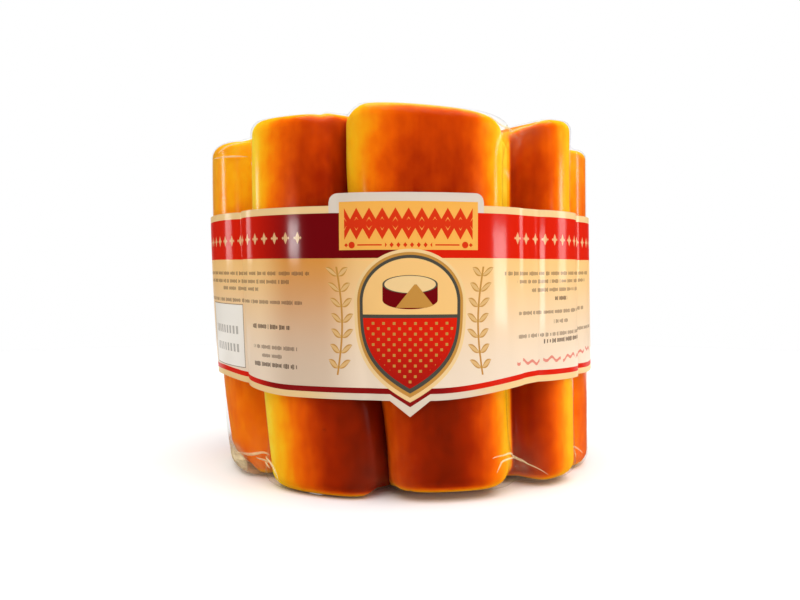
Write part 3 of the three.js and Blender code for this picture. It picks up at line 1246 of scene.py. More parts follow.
    def boxes(self, flat: FlatBand, under: object) -> Socket:
        """A white box with rows of plain blocks, and at the back a ruled table and a block."""
        mix, box = flat.nodes.mix, self.date_box
        colour = mix(flat.inside(box.panel, box.frame) * box.frame_ink, under, self.ink)
        colour = mix(flat.inside(box.panel), colour, self.bright)
        for mask in (box.blocks(flat), self.table.mask(flat), self.far_block.mask(flat)):
            colour = mix(mask, colour, self.ink)
        return colour

    def sprigs(self, flat: FlatBand, under: object) -> Socket:
        """A leafy sprig, in thin gold lines, on each side of the medallion."""
        sprig, mix = self.sprig, flat.nodes.mix
        bow = flat.sine((flat.up - sprig.low) * (math.pi / (sprig.high - sprig.low)))
        aside = abs(flat.across - self.medal.middle) - self.medal.half_width
        reach = abs(aside - (bow * sprig.bow * -1.0 + sprig.aside))
        turn = flat.sine(reach * (math.pi / sprig.length))
        level = (flat.up - sprig.low) / sprig.pitch - reach * sprig.lift
        cell = abs(level.fraction() - sprig.middle)
        leaf = (cell < turn * sprig.leaf_width) * (reach < sprig.length)
        vein = (cell < turn * sprig.vein_width) * (reach < sprig.length)
        tall = flat.up.within(sprig.low, sprig.high)
        leafy = flat.up.within(sprig.low + sprig.bare, sprig.high)
        colour = mix(leaf * leafy * sprig.leaf_ink, under, self.gold)
        colour = mix(vein * tall * sprig.vein_ink, colour, self.cream)
        return mix((reach < sprig.stem) * tall, colour, self.gold)

    def red_stripe(self, flat: FlatBand, under: object) -> Socket:
        """Red stripe with a row of small lozenges, going to maroon towards the tab from the left as
        painted shade.
        """
        mix, across = flat.nodes.mix, flat.across
        low, high = self.stripe
        shade_near_tab = across.rising(*self.stripe_shade) * (across < 0.0)
        colour = mix(flat.up.within(low, high), under, mix(shade_near_tab, self.red, self.maroon))
        before, after = self.lozenges_beside
        beside = (across < before) | (across > after)
        for pitch, half_width, half_height in self.lozenges:
            cell = abs((across / pitch).fraction() - 0.5) * pitch / half_width
            level = abs(flat.up - low - self.lozenge_level) / half_height
            colour = mix((cell + level < 1.0) * beside * self.lozenge_ink, colour, self.cream)
        return colour

    def tab_panel(self, flat: FlatBand, under: object) -> Socket:
        """Tan panel on the white-edged tab, with a red trellis frieze over a small ornament."""
        mix, frieze, panel = flat.nodes.mix, self.frieze, self.panel
        white = flat.across.within(*self.tab) * (flat.up > self.stripe[1])
        colour = mix(white, under, self.white)
        colour = mix(flat.inside(panel), colour, self.panel_tan)
        start, end = panel.left + frieze.margin, panel.right - frieze.margin
        pitch = (end - start) / frieze.cells
        cell = abs(((flat.across - start) / pitch).fraction() - 0.5)
        level = flat.up - panel.low - frieze.level
        turn = cell * (4 * frieze.swing) - frieze.swing
        trellis = (abs(level - turn) < frieze.half) | (abs(level + turn) < frieze.half)
        knot = cell * pitch / frieze.knot[0] + abs(level) / frieze.knot[1] < 1.0
        crossing = (0.5 - cell) * pitch / frieze.crossing[0] + abs(level) / frieze.crossing[1] < 1.0
        band = (trellis | knot | crossing) * flat.across.within(start, end)
        return mix((band | self.ornament(flat)) * frieze.ink, colour, self.red)

    def ornament(self, flat: FlatBand) -> Field:
        """Mask of the rule, dots and ends under the frieze."""
        frieze, panel = self.frieze, self.panel
        aside = abs(flat.across - (panel.left + panel.right) / 2)
        rise = abs(flat.up - panel.low - frieze.rule_level)
        rule = (rise < frieze.rule_half) * aside.within(*frieze.rule)
        dot = abs((aside / frieze.dot_pitch).fraction() - 0.5) * frieze.dot_pitch / frieze.dot[0]
        dots = (dot + rise / frieze.dot[1] < 1.0) * (aside < frieze.dots_to)
        centre, area = frieze.end
        ends = (aside - centre) * (aside - centre) + rise * rise < area
        centre, half = frieze.tail
        return rule | dots | ends | (abs(aside - centre) + rise < half)

    def edging(self, flat: FlatBand, above: Field, under: object) -> Socket:
        """Cream borders along both edges, with a red line inside the lower one.

        Args:
            flat: The flat band.
            above: Rise from the cut lower edge.
            under: The colour under the borders.

        Returns:
            The colour with the borders.
        """
        mix, across = flat.nodes.mix, flat.across
        tip, half_width = self.point
        near_tip = flat.nodes.math("MAXIMUM", 1.0 - abs(across - tip) / half_width, 0.0)
        border = near_tip * self.tip_border + self.low_border
        front = across.zone(*self.maroon_zone) * self.edge_change
        colour = mix(above < border + self.low_line, under, mix(front, self.red, self.maroon))
        middle = across.zone(*self.white_zone) * self.edge_change
        colour = mix(above < border, colour, mix(middle, self.cream, self.white))
        top = flat.up.within(self.height - self.top_border, self.height + 0.5)
        return mix(top * (1.0 - across.within(*self.tab)), colour, self.cream)

    def medallion(self, flat: FlatBand, under: object) -> Socket:
        """The medallion: a cut wheel on tan over small squares on red, in a ringed frame."""
        mix, medal = flat.nodes.mix, self.medal
        x, y = abs(flat.across - medal.middle), flat.up - medal.level
        field_colour = mix(y > medal.split, self.red, self.tan)
        paints = (self.cream, self.gold, self.steel, field_colour)
        colour = under
        for inset, paint in zip(medal.rings, paints):
            inside = medal.inside(flat.nodes, x, y, inset)
            colour = mix(inside, colour, paint)
        shade = (1.0 - y.rising(*medal.shade_from)) * medal.shade
        colour = mix(inside * (y < medal.split) * shade, colour, self.maroon)
        pitch = medal.squares
        slant = abs(((x + y) / pitch).fraction() - 0.5) + abs(((x - y) / pitch).fraction() - 0.5)
        squares = (slant < medal.square_half) * (y < medal.squares_below)
        squares = squares * medal.inside(flat.nodes, x, y, medal.squares_inset)
        colour = mix(squares, colour, self.gold)
        split = (abs(y - medal.split) < medal.split_half) * inside
        colour = mix(split, colour, self.steel)
        return self.cut_wheel(flat.nodes, flat.across - medal.middle, y - medal.wheel_level, colour)

    def cut_wheel(self, nodes: Nodes, x: Field, y: Field, under: object) -> Socket:
        """The wheel over the medallion's tan half.

        Args:
            nodes: Where the nodes go.
            x: Length from the wheel's middle.
            y: Height over the wheel's middle.
            under: The colour under it.

        Returns:
            The colour with the wheel.
        """
        wheel = self.wheel
        middle = wheel.tall / 2
        face = x * x / wheel.half**2 + (y - middle) * (y - middle) / wheel.flat**2
        foot = x * x / wheel.half**2 + (y + middle) * (y + middle) / wheel.flat**2
        wall = (abs(x) < wheel.half) * (abs(y) < middle)
        colour = nodes.mix((foot < 1.0) | wall, under, self.maroon)
        colour = nodes.mix(face < 1.0, colour, self.steel)
        colour = nodes.mix(face < wheel.face, colour, self.cream)
        top, bottom = middle + wheel.wedge_over, -middle - wheel.wedge_under
        sides = abs(x - wheel.wedge_aside) < (top - y) * wheel.wedge_slope
        wedge = sides * y.within(bottom, top) * ((foot < wheel.wedge_foot) | wall)
        return nodes.mix(wedge, colour, self.gold)


# Cheese and film
# ---------------


@dataclass
class DrumPiece:
    """A closed skin in the lobed form, shaped from a straight blank with rounded rims."""

    drum: LobedDrum
    columns_a_lobe: int = 36
    rows: int = 84
    rim_cuts: int = 6
    face_rings: int = 16
    top_rim: float = 0.0042
    foot_rim: float = 0.0046
    blank_radius: float = 0.070
    blank_height: float = 0.116
    uneven: float = 0.0005
    uneven_scales: Pair = (45, 22)
    middles: dict[bool, Vector] = field(default_factory=dict)

    @property
    def columns(self) -> int:
        """Number of columns round the drum."""
        return self.columns_a_lobe * len(self.drum.lobes)

    def blank(self, name: str) -> Piece:
        """Makes the straight blank: a drum with rounded rims, wall rows and rings on its ends.

        Args:
            name: The piece's name.

        Returns:
            The object, in object mode.
        """
        deselect_all()
        bpy.ops.mesh.primitive_cylinder_add(
            vertices=self.columns,
            radius=self.blank_radius,
            depth=self.blank_height,
            end_fill_type="NGON",
        )
        piece = bpy.context.object
        piece.name = piece.data.name = name
        bpy.ops.object.mode_set(mode="EDIT")
        bpy.ops.transform.translate(value=(0, 0, self.blank_height / 2))
        for is_top, rim in ((True, self.top_rim), (False, self.foot_rim)):
            level = self.blank_height if is_top else 0.0
            select_where(piece, Element.EDGES, lambda edge: on_level(edge, 2, level))
            bpy.ops.mesh.bevel(offset=rim, segments=self.rim_cuts, profile=0.5, affect="EDGES")
        tall = (self.blank_height - self.top_rim - self.foot_rim) * NEARLY_ALL
        select_where(piece, Element.EDGES, lambda edge: rises_over(edge, tall))
        bpy.ops.mesh.subdivide(number_cuts=self.rows - 1)
        for sign, rim in ((1, self.top_rim), (-1, self.foot_rim)):
            select_where(piece, Element.FACES, lambda face: is_end_face(face, sign))
            step = (self.blank_radius - rim) / (self.face_rings + 1)
            for _ in range(self.face_rings):
                bpy.ops.mesh.inset(thickness=step)
            bpy.ops.mesh.poke()
        bpy.ops.mesh.select_all(action="SELECT")
        bpy.ops.mesh.quads_convert_to_tris(quad_method="SHORTEST_DIAGONAL")
        bpy.ops.object.mode_set(mode="OBJECT")
        return piece

    def place_of(self, point: Vector) -> Place:
        """Place on the lobes that a column of the blank becomes."""
        turn = math.degrees(math.atan2(point.x, -point.y)) % FULL_TURN
        column = round(turn * self.columns / FULL_TURN) % self.columns
        index, step = divmod(column, self.columns_a_lobe)
        return Place(index, math.sin(math.pi * (step / self.columns_a_lobe - 0.5)))

    def depth_at(self, place: Place, below_top: float, above_foot: float) -> float:
        """Share of the valleys' depth that this skin follows."""
        return 1.0

    def offset_at(self, place: Place, share: float, height: float) -> float:
        """Distance outwards from the form."""
        return 0.0

    def unevenness(self, place: Place, share: float, height: float) -> float:
        """Slow inward drift of the surface, the same for every skin of the drum."""
        flat = self.drum.outline(place, share, 0.0, 0.0)
        aside, along = self.uneven_scales
        drift = noise.noise(Vector((flat.x * aside, flat.y * aside, height * along)))
        return -self.uneven * (0.5 + 0.5 * drift)

    def top_at(self, place: Place, inward: float) -> float:
        """Height of this skin's top face."""
        return self.drum.top_height(place, inward)

    def foot_at(self, place: Place, inward: float) -> float:
        """Height of this skin's foot face."""
        return self.drum.foot_height(place, inward)

    def rims_at(self, place: Place) -> Pair:
        """Radii of the top and foot rims at a place."""
        return self.drum.blended(place, lambda lobe, across: lobe.rim), self.foot_rim

    def wall_point(self, place: Place, share: float, inset: float, height: float) -> Vector:
        """Point of the wall or of a rim.

        Args:
            place: Where round the drum.
            share: Share of the height, for the outline.
            inset: How far in from the wall, along its normal.
            height: The point's height.

        Returns:
            The point.
        """
        high, low = self.top_at(place, 1), self.foot_at(place, 1)
        depth = self.depth_at(place, high - height, height - low)
        offset = self.offset_at(place, share, height) + self.unevenness(place, share, height)
        flat = self.drum.outline(place, share, depth, offset)
        if inset > 0:
            flat = flat - self.drum.outward(place, share, depth) * inset
        return Vector((flat.x, flat.y, height))

    def shaped(self, point: Vector) -> Vector:
        """Point of the finished skin for a point of the blank."""
        place = self.place_of(point)
        high, low = self.top_at(place, 1), self.foot_at(place, 1)
        top_rim, foot_rim = self.rims_at(place)
        inside = self.blank_radius - math.hypot(point.x, point.y)
        straight = self.blank_height - self.top_rim - self.foot_rim
        along = min(max((point.z - self.foot_rim) / straight, 0.0), 1.0)
        share = (1 - math.cos(math.pi * along)) / 2
        if point.z > self.blank_height - self.top_rim:
            scale = top_rim / self.top_rim
            height = high - (self.blank_height - point.z) * scale
            edge = min(inside, self.top_rim) * scale
        elif point.z < self.foot_rim:
            scale = foot_rim / self.foot_rim
            height = low + point.z * scale
            edge = min(inside, self.foot_rim) * scale
        else:
            height = lerp(low + foot_rim, high - top_rim, share)
            return self.wall_point(place, share, 0.0, height)
        is_top = share > 0.5
        rim = self.top_rim if is_top else self.foot_rim
        outer = self.wall_point(place, share, edge, height)
        if inside <= rim + SLIP:
            return outer
        inward = (self.blank_radius - inside) / (self.blank_radius - rim)
        middle = self.middles[is_top]
        flat = middle.lerp(outer, inward)
        level = self.top_at(place, inward) if is_top else self.foot_at(place, inward)
        return Vector((flat.x, flat.y, level))

    def shape(self, piece: Piece) -> None:
        """Moves the blank's vertices onto the finished skin."""
        self.middles = {
            is_top: Vector((self.drum.lean_at_top if is_top else self.drum.lean_at_foot, 0, 0))
            for is_top in (True, False)
        }
        for vertex in piece.data.vertices:
            vertex.co = self.shaped(vertex.co)
        piece.data.update()


@dataclass
class SmokedCheese(DrumPiece):
    """The cheese itself, just inside the film, with rounder heels."""

    film_gap: float = 0.00025
    stain_heights: Pair = (0.02, 0.1)
    end_smoke: float = 0.37
    end_from: Pair = (0.8, 1.0)
    # The depth is capped at this along the top and foot rims: a pale line there is a painted
    # highlight.
    rim_highlight_depth: float = 0.17
    foot_rim_fade: Pair = (0.0005, 0.0035)
    top_rim_fade: Pair = (0.0002, 0.0026)
    # Towards the top the wall's depth is scaled down to this share, so the wall is paler there.
    crown_share: float = 0.88
    crown_fade: Pair = (0.004, 0.02)
    finish: SmokedRind = SmokedRind()

    def offset_at(self, place: Place, share: float, height: float) -> float:
        """Distance outwards from the form."""
        return -self.film_gap

    def top_at(self, place: Place, inward: float) -> float:
        """Height of the top face, under the film."""
        return self.drum.top_height(place, inward) - self.film_gap

    def foot_at(self, place: Place, inward: float) -> float:
        """Height of the foot face, over the film."""
        return self.drum.foot_height(place, inward) + self.film_gap

    def rims_at(self, place: Place) -> Pair:
        """Radii of the rims, with each lobe's own heel."""
        top_rim, _ = super().rims_at(place)
        return top_rim, self.drum.blended(place, Lobe.heel_at)

    def smoke(self, place: Place, height: float, inward: float) -> float:
        """Depth of the rind's colour, from 0 in the pale valleys to 1: smoke with painted shade and
        painted light.

        Args:
            place: Where round the drum.
            height: Height of the point.
            inward: 1 on the wall, and less on the end faces.

        Returns:
            The depth.
        """
        lobe = self.drum.lobes[place.index]
        low, high = lobe.low_stain_and_shade.at(place.across), lobe.high_stain_and_shade.at(place.across)
        wall = lerp(low, high, smoothstep(height, *self.stain_heights))
        above_foot = smoothstep(height - lobe.foot, *self.foot_rim_fade)
        wall = lerp(min(wall, self.rim_highlight_depth), wall, above_foot)
        below_top = self.top_at(place, 1) - height
        wall = wall * lerp(self.crown_share, 1.0, smoothstep(below_top, *self.crown_fade))
        wall = lerp(min(wall, self.rim_highlight_depth), wall, smoothstep(below_top, *self.top_rim_fade))
        return lerp(self.end_smoke, wall, smoothstep(inward, *self.end_from))

    def build(self) -> Piece:
        """Builds the cheese, colours it and hands it to the frame."""
        piece = self.blank("smoked_cheese")
        places = [(self.place_of(v.co), math.hypot(v.co.x, v.co.y)) for v in piece.data.vertices]
        self.shape(piece)
        reach = self.blank_radius - self.top_rim
        smoke = [
            self.smoke(place, vertex.co.z, min(radius / reach, 1.0))
            for (place, radius), vertex in zip(places, piece.data.vertices)
        ]
        store(piece, "smoke", smoke)
        smooth_shaded(piece)
        piece.data.materials.append(self.finish.material())
        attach(piece, "root")
        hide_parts("sealed_cheese")
        return piece


@dataclass
class ShrinkFilm(DrumPiece):
    """The clear film, shrunk tight on the lobes and bridging the ends of the valleys."""

    top_web: float = 0.007
    foot_web: float = 0.011
    valley_share: float = 0.95
    ripple_depth: float = 0.0004
    ripple_from: float = 0.01
    ripple_scales: tuple[float, float, float] = (3.1, 0.8, 420)
    ripple_sag: float = 0.004
    web_slack: float = 0.16
    web_from: Pair = (0.4, 0.95)
    slack_heel: Pair = (0.0065, 0.0095)
    pocket_share: float = 0.5
    seed: float = 7.3
    finish: ShrinkFilmFinish = ShrinkFilmFinish()

    def web(self, place: Place, below_top: float, above_foot: float) -> float:
        """Part of the valley's depth that the film fills, at a distance from each end."""
        top, foot = self.drum.near_valley(place).webs
        at_top = top * math.exp(-((below_top / self.top_web) ** 2))
        return at_top + foot * math.exp(-((above_foot / self.foot_web) ** 2))

    def depth_at(self, place: Place, below_top: float, above_foot: float) -> float:
        """Share of the valleys' depth that the film follows."""
        return self.valley_share * (1 - self.web(place, below_top, above_foot))

    def slack(self, place: Place, height: float) -> float:
        """How slack the film is at a place: 1 over a rounded heel, 0 where it is drawn tight."""
        high, low = self.top_at(place, 1), self.foot_at(place, 1)
        in_valley = smoothstep(abs(place.across), *self.web_from)
        web = self.web_slack * in_valley * self.web(place, high - height, height - low)
        heel = self.drum.blended(place, Lobe.heel_at)
        over_heel = smoothstep(height - low, heel * self.pocket_share, heel)
        return min(1.0, web + smoothstep(heel, *self.slack_heel) * (1 - over_heel))

    def offset_at(self, place: Place, share: float, height: float) -> float:
        """Depth of the ripples that run across the webs, sagging between the lobes."""
        slack = self.slack(place, height)
        if slack < self.ripple_from:
            return 0.0
        sag = self.ripple_sag * (1 - abs(place.across))
        level = height - sag if height > self.blank_height / 2 else height + sag
        apart, aside, along = self.ripple_scales
        spot = (place.index * apart, place.across * aside, level * along + self.seed)
        wave = noise.noise(Vector(spot))
        return -self.ripple_depth * slack * abs(wave) * 2

    def point_at(self, azimuth: float, height: float) -> Vector:
        """Point of the film at an azimuth and a height, on the wall or on a rim.

        Args:
            azimuth: Degrees from the front.
            height: The point's height.

        Returns:
            The point.
        """
        place = self.drum.place_at(azimuth, height / self.drum.body_height)
        top_rim, foot_rim = self.rims_at(place)
        low, high = self.foot_at(place, 1) + foot_rim, self.top_at(place, 1) - top_rim
        share = min(max((height - low) / (high - low), 0.0), 1.0)
        place = self.drum.place_at(azimuth, share)
        past, rim = (height - high, top_rim) if height > high else (low - height, foot_rim)
        sunk = min(max(past / rim, 0.0), 1.0)
        return self.wall_point(place, share, rim * (1 - math.sqrt(1 - sunk**2)), height)

    def build(self) -> Piece:
        """Builds the film and hands it to the frame."""
        piece = self.blank("shrink_film")
        places = [self.place_of(v.co) for v in piece.data.vertices]
        self.shape(piece)
        vertices = piece.data.vertices
        store(piece, "slack", [self.slack(p, v.co.z) for p, v in zip(places, vertices)])
        smooth_shaded(piece)
        piece.data.materials.append(self.finish.material())
        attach(piece, "root")
        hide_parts("sealed_cheese")
        return piece


@dataclass(frozen=True)
class Fold:
    """A thin fold of the film: its crest's azimuths and heights in millimetres, and its size."""

    path: tuple[Pair, ...]
    half_width: float = 0.0004
    rise: float = 0.0003

    def spot(self, share: float) -> Pair:
        """Azimuth and height at a share of the way along the path, on a smooth curve.

        Args:
            share: 0 at the path's start and 1 at its end.

        Returns:
            Degrees from the front, and metres above the base.
        """
        last = len(self.path) - 1
        number = min(int(share * last), last - 1)
        t = share * last - number
        points = [self.path[min(max(number + step, 0), last)] for step in (-1, 0, 1, 2)]
        weights = (
            (-t + 2 * t * t - t**3) / 2,
            (2 - 5 * t * t + 3 * t**3) / 2,
            (t + 4 * t * t - 3 * t**3) / 2,
            (t**3 - t * t) / 2,
        )
        azimuth, height = (sum(w * p[axis] for w, p in zip(weights, points)) for axis in (0, 1))
        return azimuth, height * MM


@dataclass
class FilmFolds:
    """Folds where the film bridges the valleys, over the tops and round the heels of the lobes."""

    film: ShrinkFilm
    steps: int = 48
    sides: int = 8
    taper: float = 0.7
    least_share: float = 0.02
    near: float = 0.3
    slack: float = 0.6
    # The folds' pale haze is partly the creased film's own milkiness and partly a painted highlight
    # along their crests.
    finish: ShrinkFilmFinish = ShrinkFilmFinish(
        "folded_film_and_highlight", gloss_share=0.4, haze=0.95, milk_and_glow=(1.0, 0.85, 0.5)
    )
    folds: tuple[Fold, ...] = (
        Fold(((-68, 107.6), (-59.2, 106.4), (-53.7, 105.8), (-50.6, 105.4)), 0.0003),
        Fold(((-62, 108.2), (-59.6, 108.8), (-55.6, 109.7), (-50.9, 110.1)), 0.0003),
        Fold(
            (
                *((21.5, 112.6), (24.7, 110.4), (28.1, 110.0)),
                *((34.9, 111.3), (36.9, 112.2), (41.5, 115.2)),
            ),
            half_width=0.0003,
        ),
        Fold(((31.6, 110.8), (32.4, 111.8), (33.4, 113.2)), 0.0003),
        Fold(
            ((-64, 7.4), (-57.9, 8.1), (-54.1, 8.3), (-51.7, 8.9), (-50.1, 9.3), (-48.8, 8.4)),
            half_width=0.0005,
        ),
        Fold(((-47.9, 8.6), (-44.5, 8.8), (-41.0, 8.1), (-38.9, 6.1), (-37.6, 3.4)), 0.0004),
        Fold(((-51.9, 7.6), (-49.8, 7.0), (-48.6, 6.2)), 0.0003),
        Fold(((-47.6, 6.9), (-44.6, 7.2), (-41.7, 6.4)), 0.0003),
        Fold(
            (
                *((20.6, 12.4), (21.6, 12.8), (24.3, 12.9), (27.7, 12.7)),
                *((33.3, 9.7), (36.5, 7.7), (40.4, 4.5)),
            ),
            half_width=0.0003,
            rise=0.0002,
        ),
        Fold(
            ((21.6, 8.0), (22.8, 10.0), (23.9, 11.2), (26.8, 11.4), (31.0, 10.4), (34.4, 8.6)),
            half_width=0.0003,
        ),
        Fold(((57.0, 106.4), (60.5, 105.2), (63.5, 106.2)), 0.0003),
        Fold(((56.0, 7.2), (60.0, 9.2), (64.5, 8.4), (68.0, 5.8)), 0.0004),
    )
    far_valleys: tuple[float, ...] = (-92.0, 106.0, 147.5, -172.0, -132.5)
    far_levels: Pair = (107.5, 10.5)
    far_drift: float = 1.4
    far_phase: float = 2.3
    far_half_width: float = 0.00022
    far_top: tuple[Pair, ...] = ((-8, 2.2), (-2, 0), (3, 0.3), (8, 3.4))
    far_foot: tuple[Pair, ...] = ((-8, -3.6), (-3, 0), (3, -0.4), (9, -4.6))
    far_pinch: tuple[Pair, ...] = ((-5, -3.4), (0, -1.8), (6, -3.2))

    def far_folds(self) -> list[Fold]:
        """Folds over the ends of the valleys at the sides and the back, each a little different."""
        folds = []
        for number, valley in enumerate(self.far_valleys):
            drift = self.far_drift * math.sin(self.far_phase * number)
            top, foot = self.far_levels[0] + drift, self.far_levels[1] - drift
            shapes = ((top, self.far_top), (foot, self.far_foot), (foot, self.far_pinch))
            for level, path in shapes:
                placed = tuple((valley + aside, level + rise) for aside, rise in path)
                folds.append(Fold(placed, self.far_half_width))
        return folds

    def thread(self, fold: Fold) -> Piece:
        """Makes one fold: a drawn-out tube that lies half sunk in the film and tapers to its ends.

        Args:
            fold: The fold.

        Returns:
            The object, in object mode.
        """
        deselect_all()
        bpy.ops.mesh.primitive_cylinder_add(
            vertices=self.sides, radius=1, depth=1, end_fill_type="TRIFAN"
        )
        piece = bpy.context.object
        bpy.ops.object.mode_set(mode="EDIT")
        select_where(piece, Element.EDGES, lambda edge: rises_over(edge, NEARLY_ALL))
        bpy.ops.mesh.subdivide(number_cuts=self.steps - 1)
        bpy.ops.object.mode_set(mode="OBJECT")
        for vertex in piece.data.vertices:
            vertex.co = self.on_film(fold, vertex.co)
        return piece

    def on_film(self, fold: Fold, blank: Vector) -> Vector:
        """Point of a fold for a point of its straight blank."""
        share = min(max(blank.z + 0.5, 0.0), 1.0)
        step = 0.5 / self.steps
        before = self.film.point_at(*fold.spot(max(share - step, 0.0)))
        after = self.film.point_at(*fold.spot(min(share + step, 1.0)))
        azimuth, height = fold.spot(share)
        centre = self.film.point_at(azimuth, height)
        beside = self.film.point_at(azimuth + self.near, height)
        along = (after - before).normalized()
        out = (beside - centre).cross(Vector((0, 0, 1))).normalized()
        side = along.cross(out).normalized()
        inner = min(max(share, self.least_share), 1 - self.least_share)
        taper = math.sin(math.pi * inner) ** self.taper
        return centre + (side * blank.x * fold.half_width + out * blank.y * fold.rise) * taper

    def build(self) -> Piece:
        """Builds the folds as one piece and hands it to the frame."""
        threads = [self.thread(fold) for fold in (*self.folds, *self.far_folds())]
        deselect_all()
        for thread in threads:
            thread.select_set(True)
        bpy.context.view_layer.objects.active = threads[0]
        bpy.ops.object.join()
        piece = bpy.context.object
        piece.name = piece.data.name = "film_folds"
        bpy.ops.object.mode_set(mode="EDIT")
        bpy.ops.mesh.select_all(action="SELECT")
        bpy.ops.mesh.normals_make_consistent(inside=False)
        bpy.ops.object.mode_set(mode="OBJECT")
        store(piece, "slack", [self.slack] * len(piece.data.vertices))
        smooth_shaded(piece)
        piece.data.materials.append(self.finish.material())
        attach(piece, "root")
        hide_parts("sealed_cheese")
        return piece


# Printed band
# ------------


@dataclass
class PrintedBand:
    """The die-cut band: cut flat with its tab and point, wrapped round, and glued at the back."""

    drum: LobedDrum
    top: float = 0.0892
    foot: float = 0.034
    tilt: float = 0.0037
    print_height: float = 0.0554
    dip: float = 0.0038
    dip_from: Pair = (-64.0, -28.0)
    dip_to: Pair = (7.0, 38.0)
    gap: float = 0.0003
    thickness: float = 0.0002
    tab_azimuths: Pair = (-17.3, 19.1)
    tab_rise: float = 0.0035
    tab_corner: float = 0.0026
    corner_turns: tuple[float, ...] = (15, 30, 45, 60, 75, 90)
    point_azimuth: float = 1.8
    point_half_width: float = 0.0058
    point_depth: float = 0.0046
    flare_azimuth: float = 92.0
    flare_half_width: float = 24.0
    flare_reach: float = 0.0012
    flare_lift: float = 0.0015
    seam_azimuth: float = 180.0
    lap: float = 0.012
    lap_rise: Pair = (-0.004, 0.001)
    mean_radius: float = 0.0705
    crease_angle: float = 40.0
    columns: int = 400
    rows: int = 22
    track_steps: int = 3600

    @property
    def middle_share(self) -> float:
        """Share of the drum's height at which the band's middle lies."""
        return (self.top + self.foot) / 2 / self.drum.body_height

    def __post_init__(self) -> None:
        """Measures the way round the drum, so that a length of band finds its place."""
        share = self.middle_share
        start = self.seam_azimuth - FULL_TURN
        self.track_azimuths = np.linspace(start, self.seam_azimuth, self.track_steps + 1)
        points = []
        for azimuth in self.track_azimuths:
            place = self.drum.place_at(azimuth, share)
            sink = self.drum.near_valley(place).sink
            points.append(self.drum.outline(place, share, sink, self.gap))
        steps = [(b - a).length for a, b in zip(points, points[1:])]
        run = np.concatenate(([0.0], np.cumsum(steps)))
        self.track_run = run - np.interp(0.0, self.track_azimuths, run)

    def run_at(self, azimuth: float) -> float:
        """Length along the flat band of an azimuth, from the middle of the front."""
        return float(np.interp(azimuth, self.track_azimuths, self.track_run))

    def azimuth_at(self, run: float) -> float:
        """Azimuth of a length along the flat band."""
        around = self.track_run[-1] - self.track_run[0]
        if run > self.track_run[-1]:
            return FULL_TURN + float(np.interp(run - around, self.track_run, self.track_azimuths))
        return float(np.interp(run, self.track_run, self.track_azimuths))

    def upper_edge(self, azimuth: float) -> float:
        """Height of the upper edge, without the tab."""
        return self.top - self.tilt * math.cos(math.radians(azimuth))

    def lower_edge(self, azimuth: float) -> float:
        """Height of the lower edge: dipped in front, without the point, and risen at the back."""
        rise = self.tilt * max(0.0, -math.cos(math.radians(azimuth)))
        inside = smoothstep(azimuth, *self.dip_from) * (1 - smoothstep(azimuth, *self.dip_to))
        return self.foot + rise - self.dip * inside + self.flare_lift * self.flare(azimuth)

    def lower_flat(self, run: float) -> float:
        """Level of the lower edge on the flat band, with the point."""
        azimuth = self.azimuth_at(run)
        away = abs(run - self.run_at(self.point_azimuth)) / self.point_half_width
        level = self.print_height - (self.upper_edge(azimuth) - self.lower_edge(azimuth))
        return level - self.point_depth * max(0.0, 1 - away)

    def cut_flat(self) -> Piece:
        """Cuts the flat band: a gridded strip with a tab above, rounded corners and a dipped edge.

        Returns:
            The strip, with its length along X and its height along Y.
        """
        start, end = self.track_run[0], self.track_run[-1] + self.lap
        height = self.print_height
        deselect_all()
        bpy.ops.mesh.primitive_grid_add(
            x_subdivisions=self.columns, y_subdivisions=self.rows, size=1
        )
        piece = bpy.context.object
        piece.name = piece.data.name = "printed_label"
        bpy.ops.object.mode_set(mode="EDIT")
        bpy.ops.transform.resize(value=(end - start, height, 1))
        bpy.ops.transform.translate(value=((start + end) / 2, height / 2, 0))
        left, right = (self.run_at(azimuth) for azimuth in self.tab_azimuths)
        tip = self.run_at(self.point_azimuth)
        turns = [math.radians(turn) for turn in self.corner_turns]
        bends = [self.tab_corner * (1 - math.cos(turn)) for turn in turns]
        cuts = [left, right, tip - self.point_half_width, tip, tip + self.point_half_width]
        cuts += [left + bend for bend in bends] + [right - bend for bend in bends]
        for cut in cuts:
            bpy.ops.mesh.select_all(action="SELECT")
            bpy.ops.mesh.bisect(plane_co=(cut, 0, 0), plane_no=(1, 0, 0))

        def under_tab(edge: Edge) -> bool:
            """Says whether an edge lies on the upper edge, between the tab's sides."""
            within = all(left - SLIP < vertex.co.x < right + SLIP for vertex in edge.verts)
            return within and on_level(edge, 1, height)

        select_where(piece, Element.EDGES, under_tab)
        bpy.ops.mesh.extrude_edges_move(TRANSFORM_OT_translate={"value": (0, self.tab_rise, 0)})
        mesh = bmesh.from_edit_mesh(piece.data)
        for vertex in mesh.verts:
            if vertex.co.y < height:
                vertex.co.y = lerp(self.lower_flat(vertex.co.x), height, vertex.co.y / height)
            elif vertex.co.y > height + self.tab_rise / 2:
                aside = min(vertex.co.x - left, right - vertex.co.x)
                short = min(max(self.tab_corner - aside, 0.0), self.tab_corner)
                vertex.co.y -= self.tab_corner - math.sqrt(self.tab_corner**2 - short**2)
        bmesh.update_edit_mesh(piece.data)
        bpy.ops.mesh.select_all(action="SELECT")
        bpy.ops.mesh.remove_doubles(threshold=SLIP)
        bpy.ops.object.mode_set(mode="OBJECT")
        return piece

    def lay_out_print(self, piece: Piece) -> None:
        """Gives the strip its flat print map, and each point's rise above the cut lower edge."""
        plan = piece.data.uv_layers.new(name="print")
        for loop, spot in zip(piece.data.loops, plan.data):
            flat = piece.data.vertices[loop.vertex_index].co
            spot.uv = (flat.x, flat.y)
        rises = [v.co.y - self.lower_flat(v.co.x) for v in piece.data.vertices]
        store(piece, "above_edge", rises)

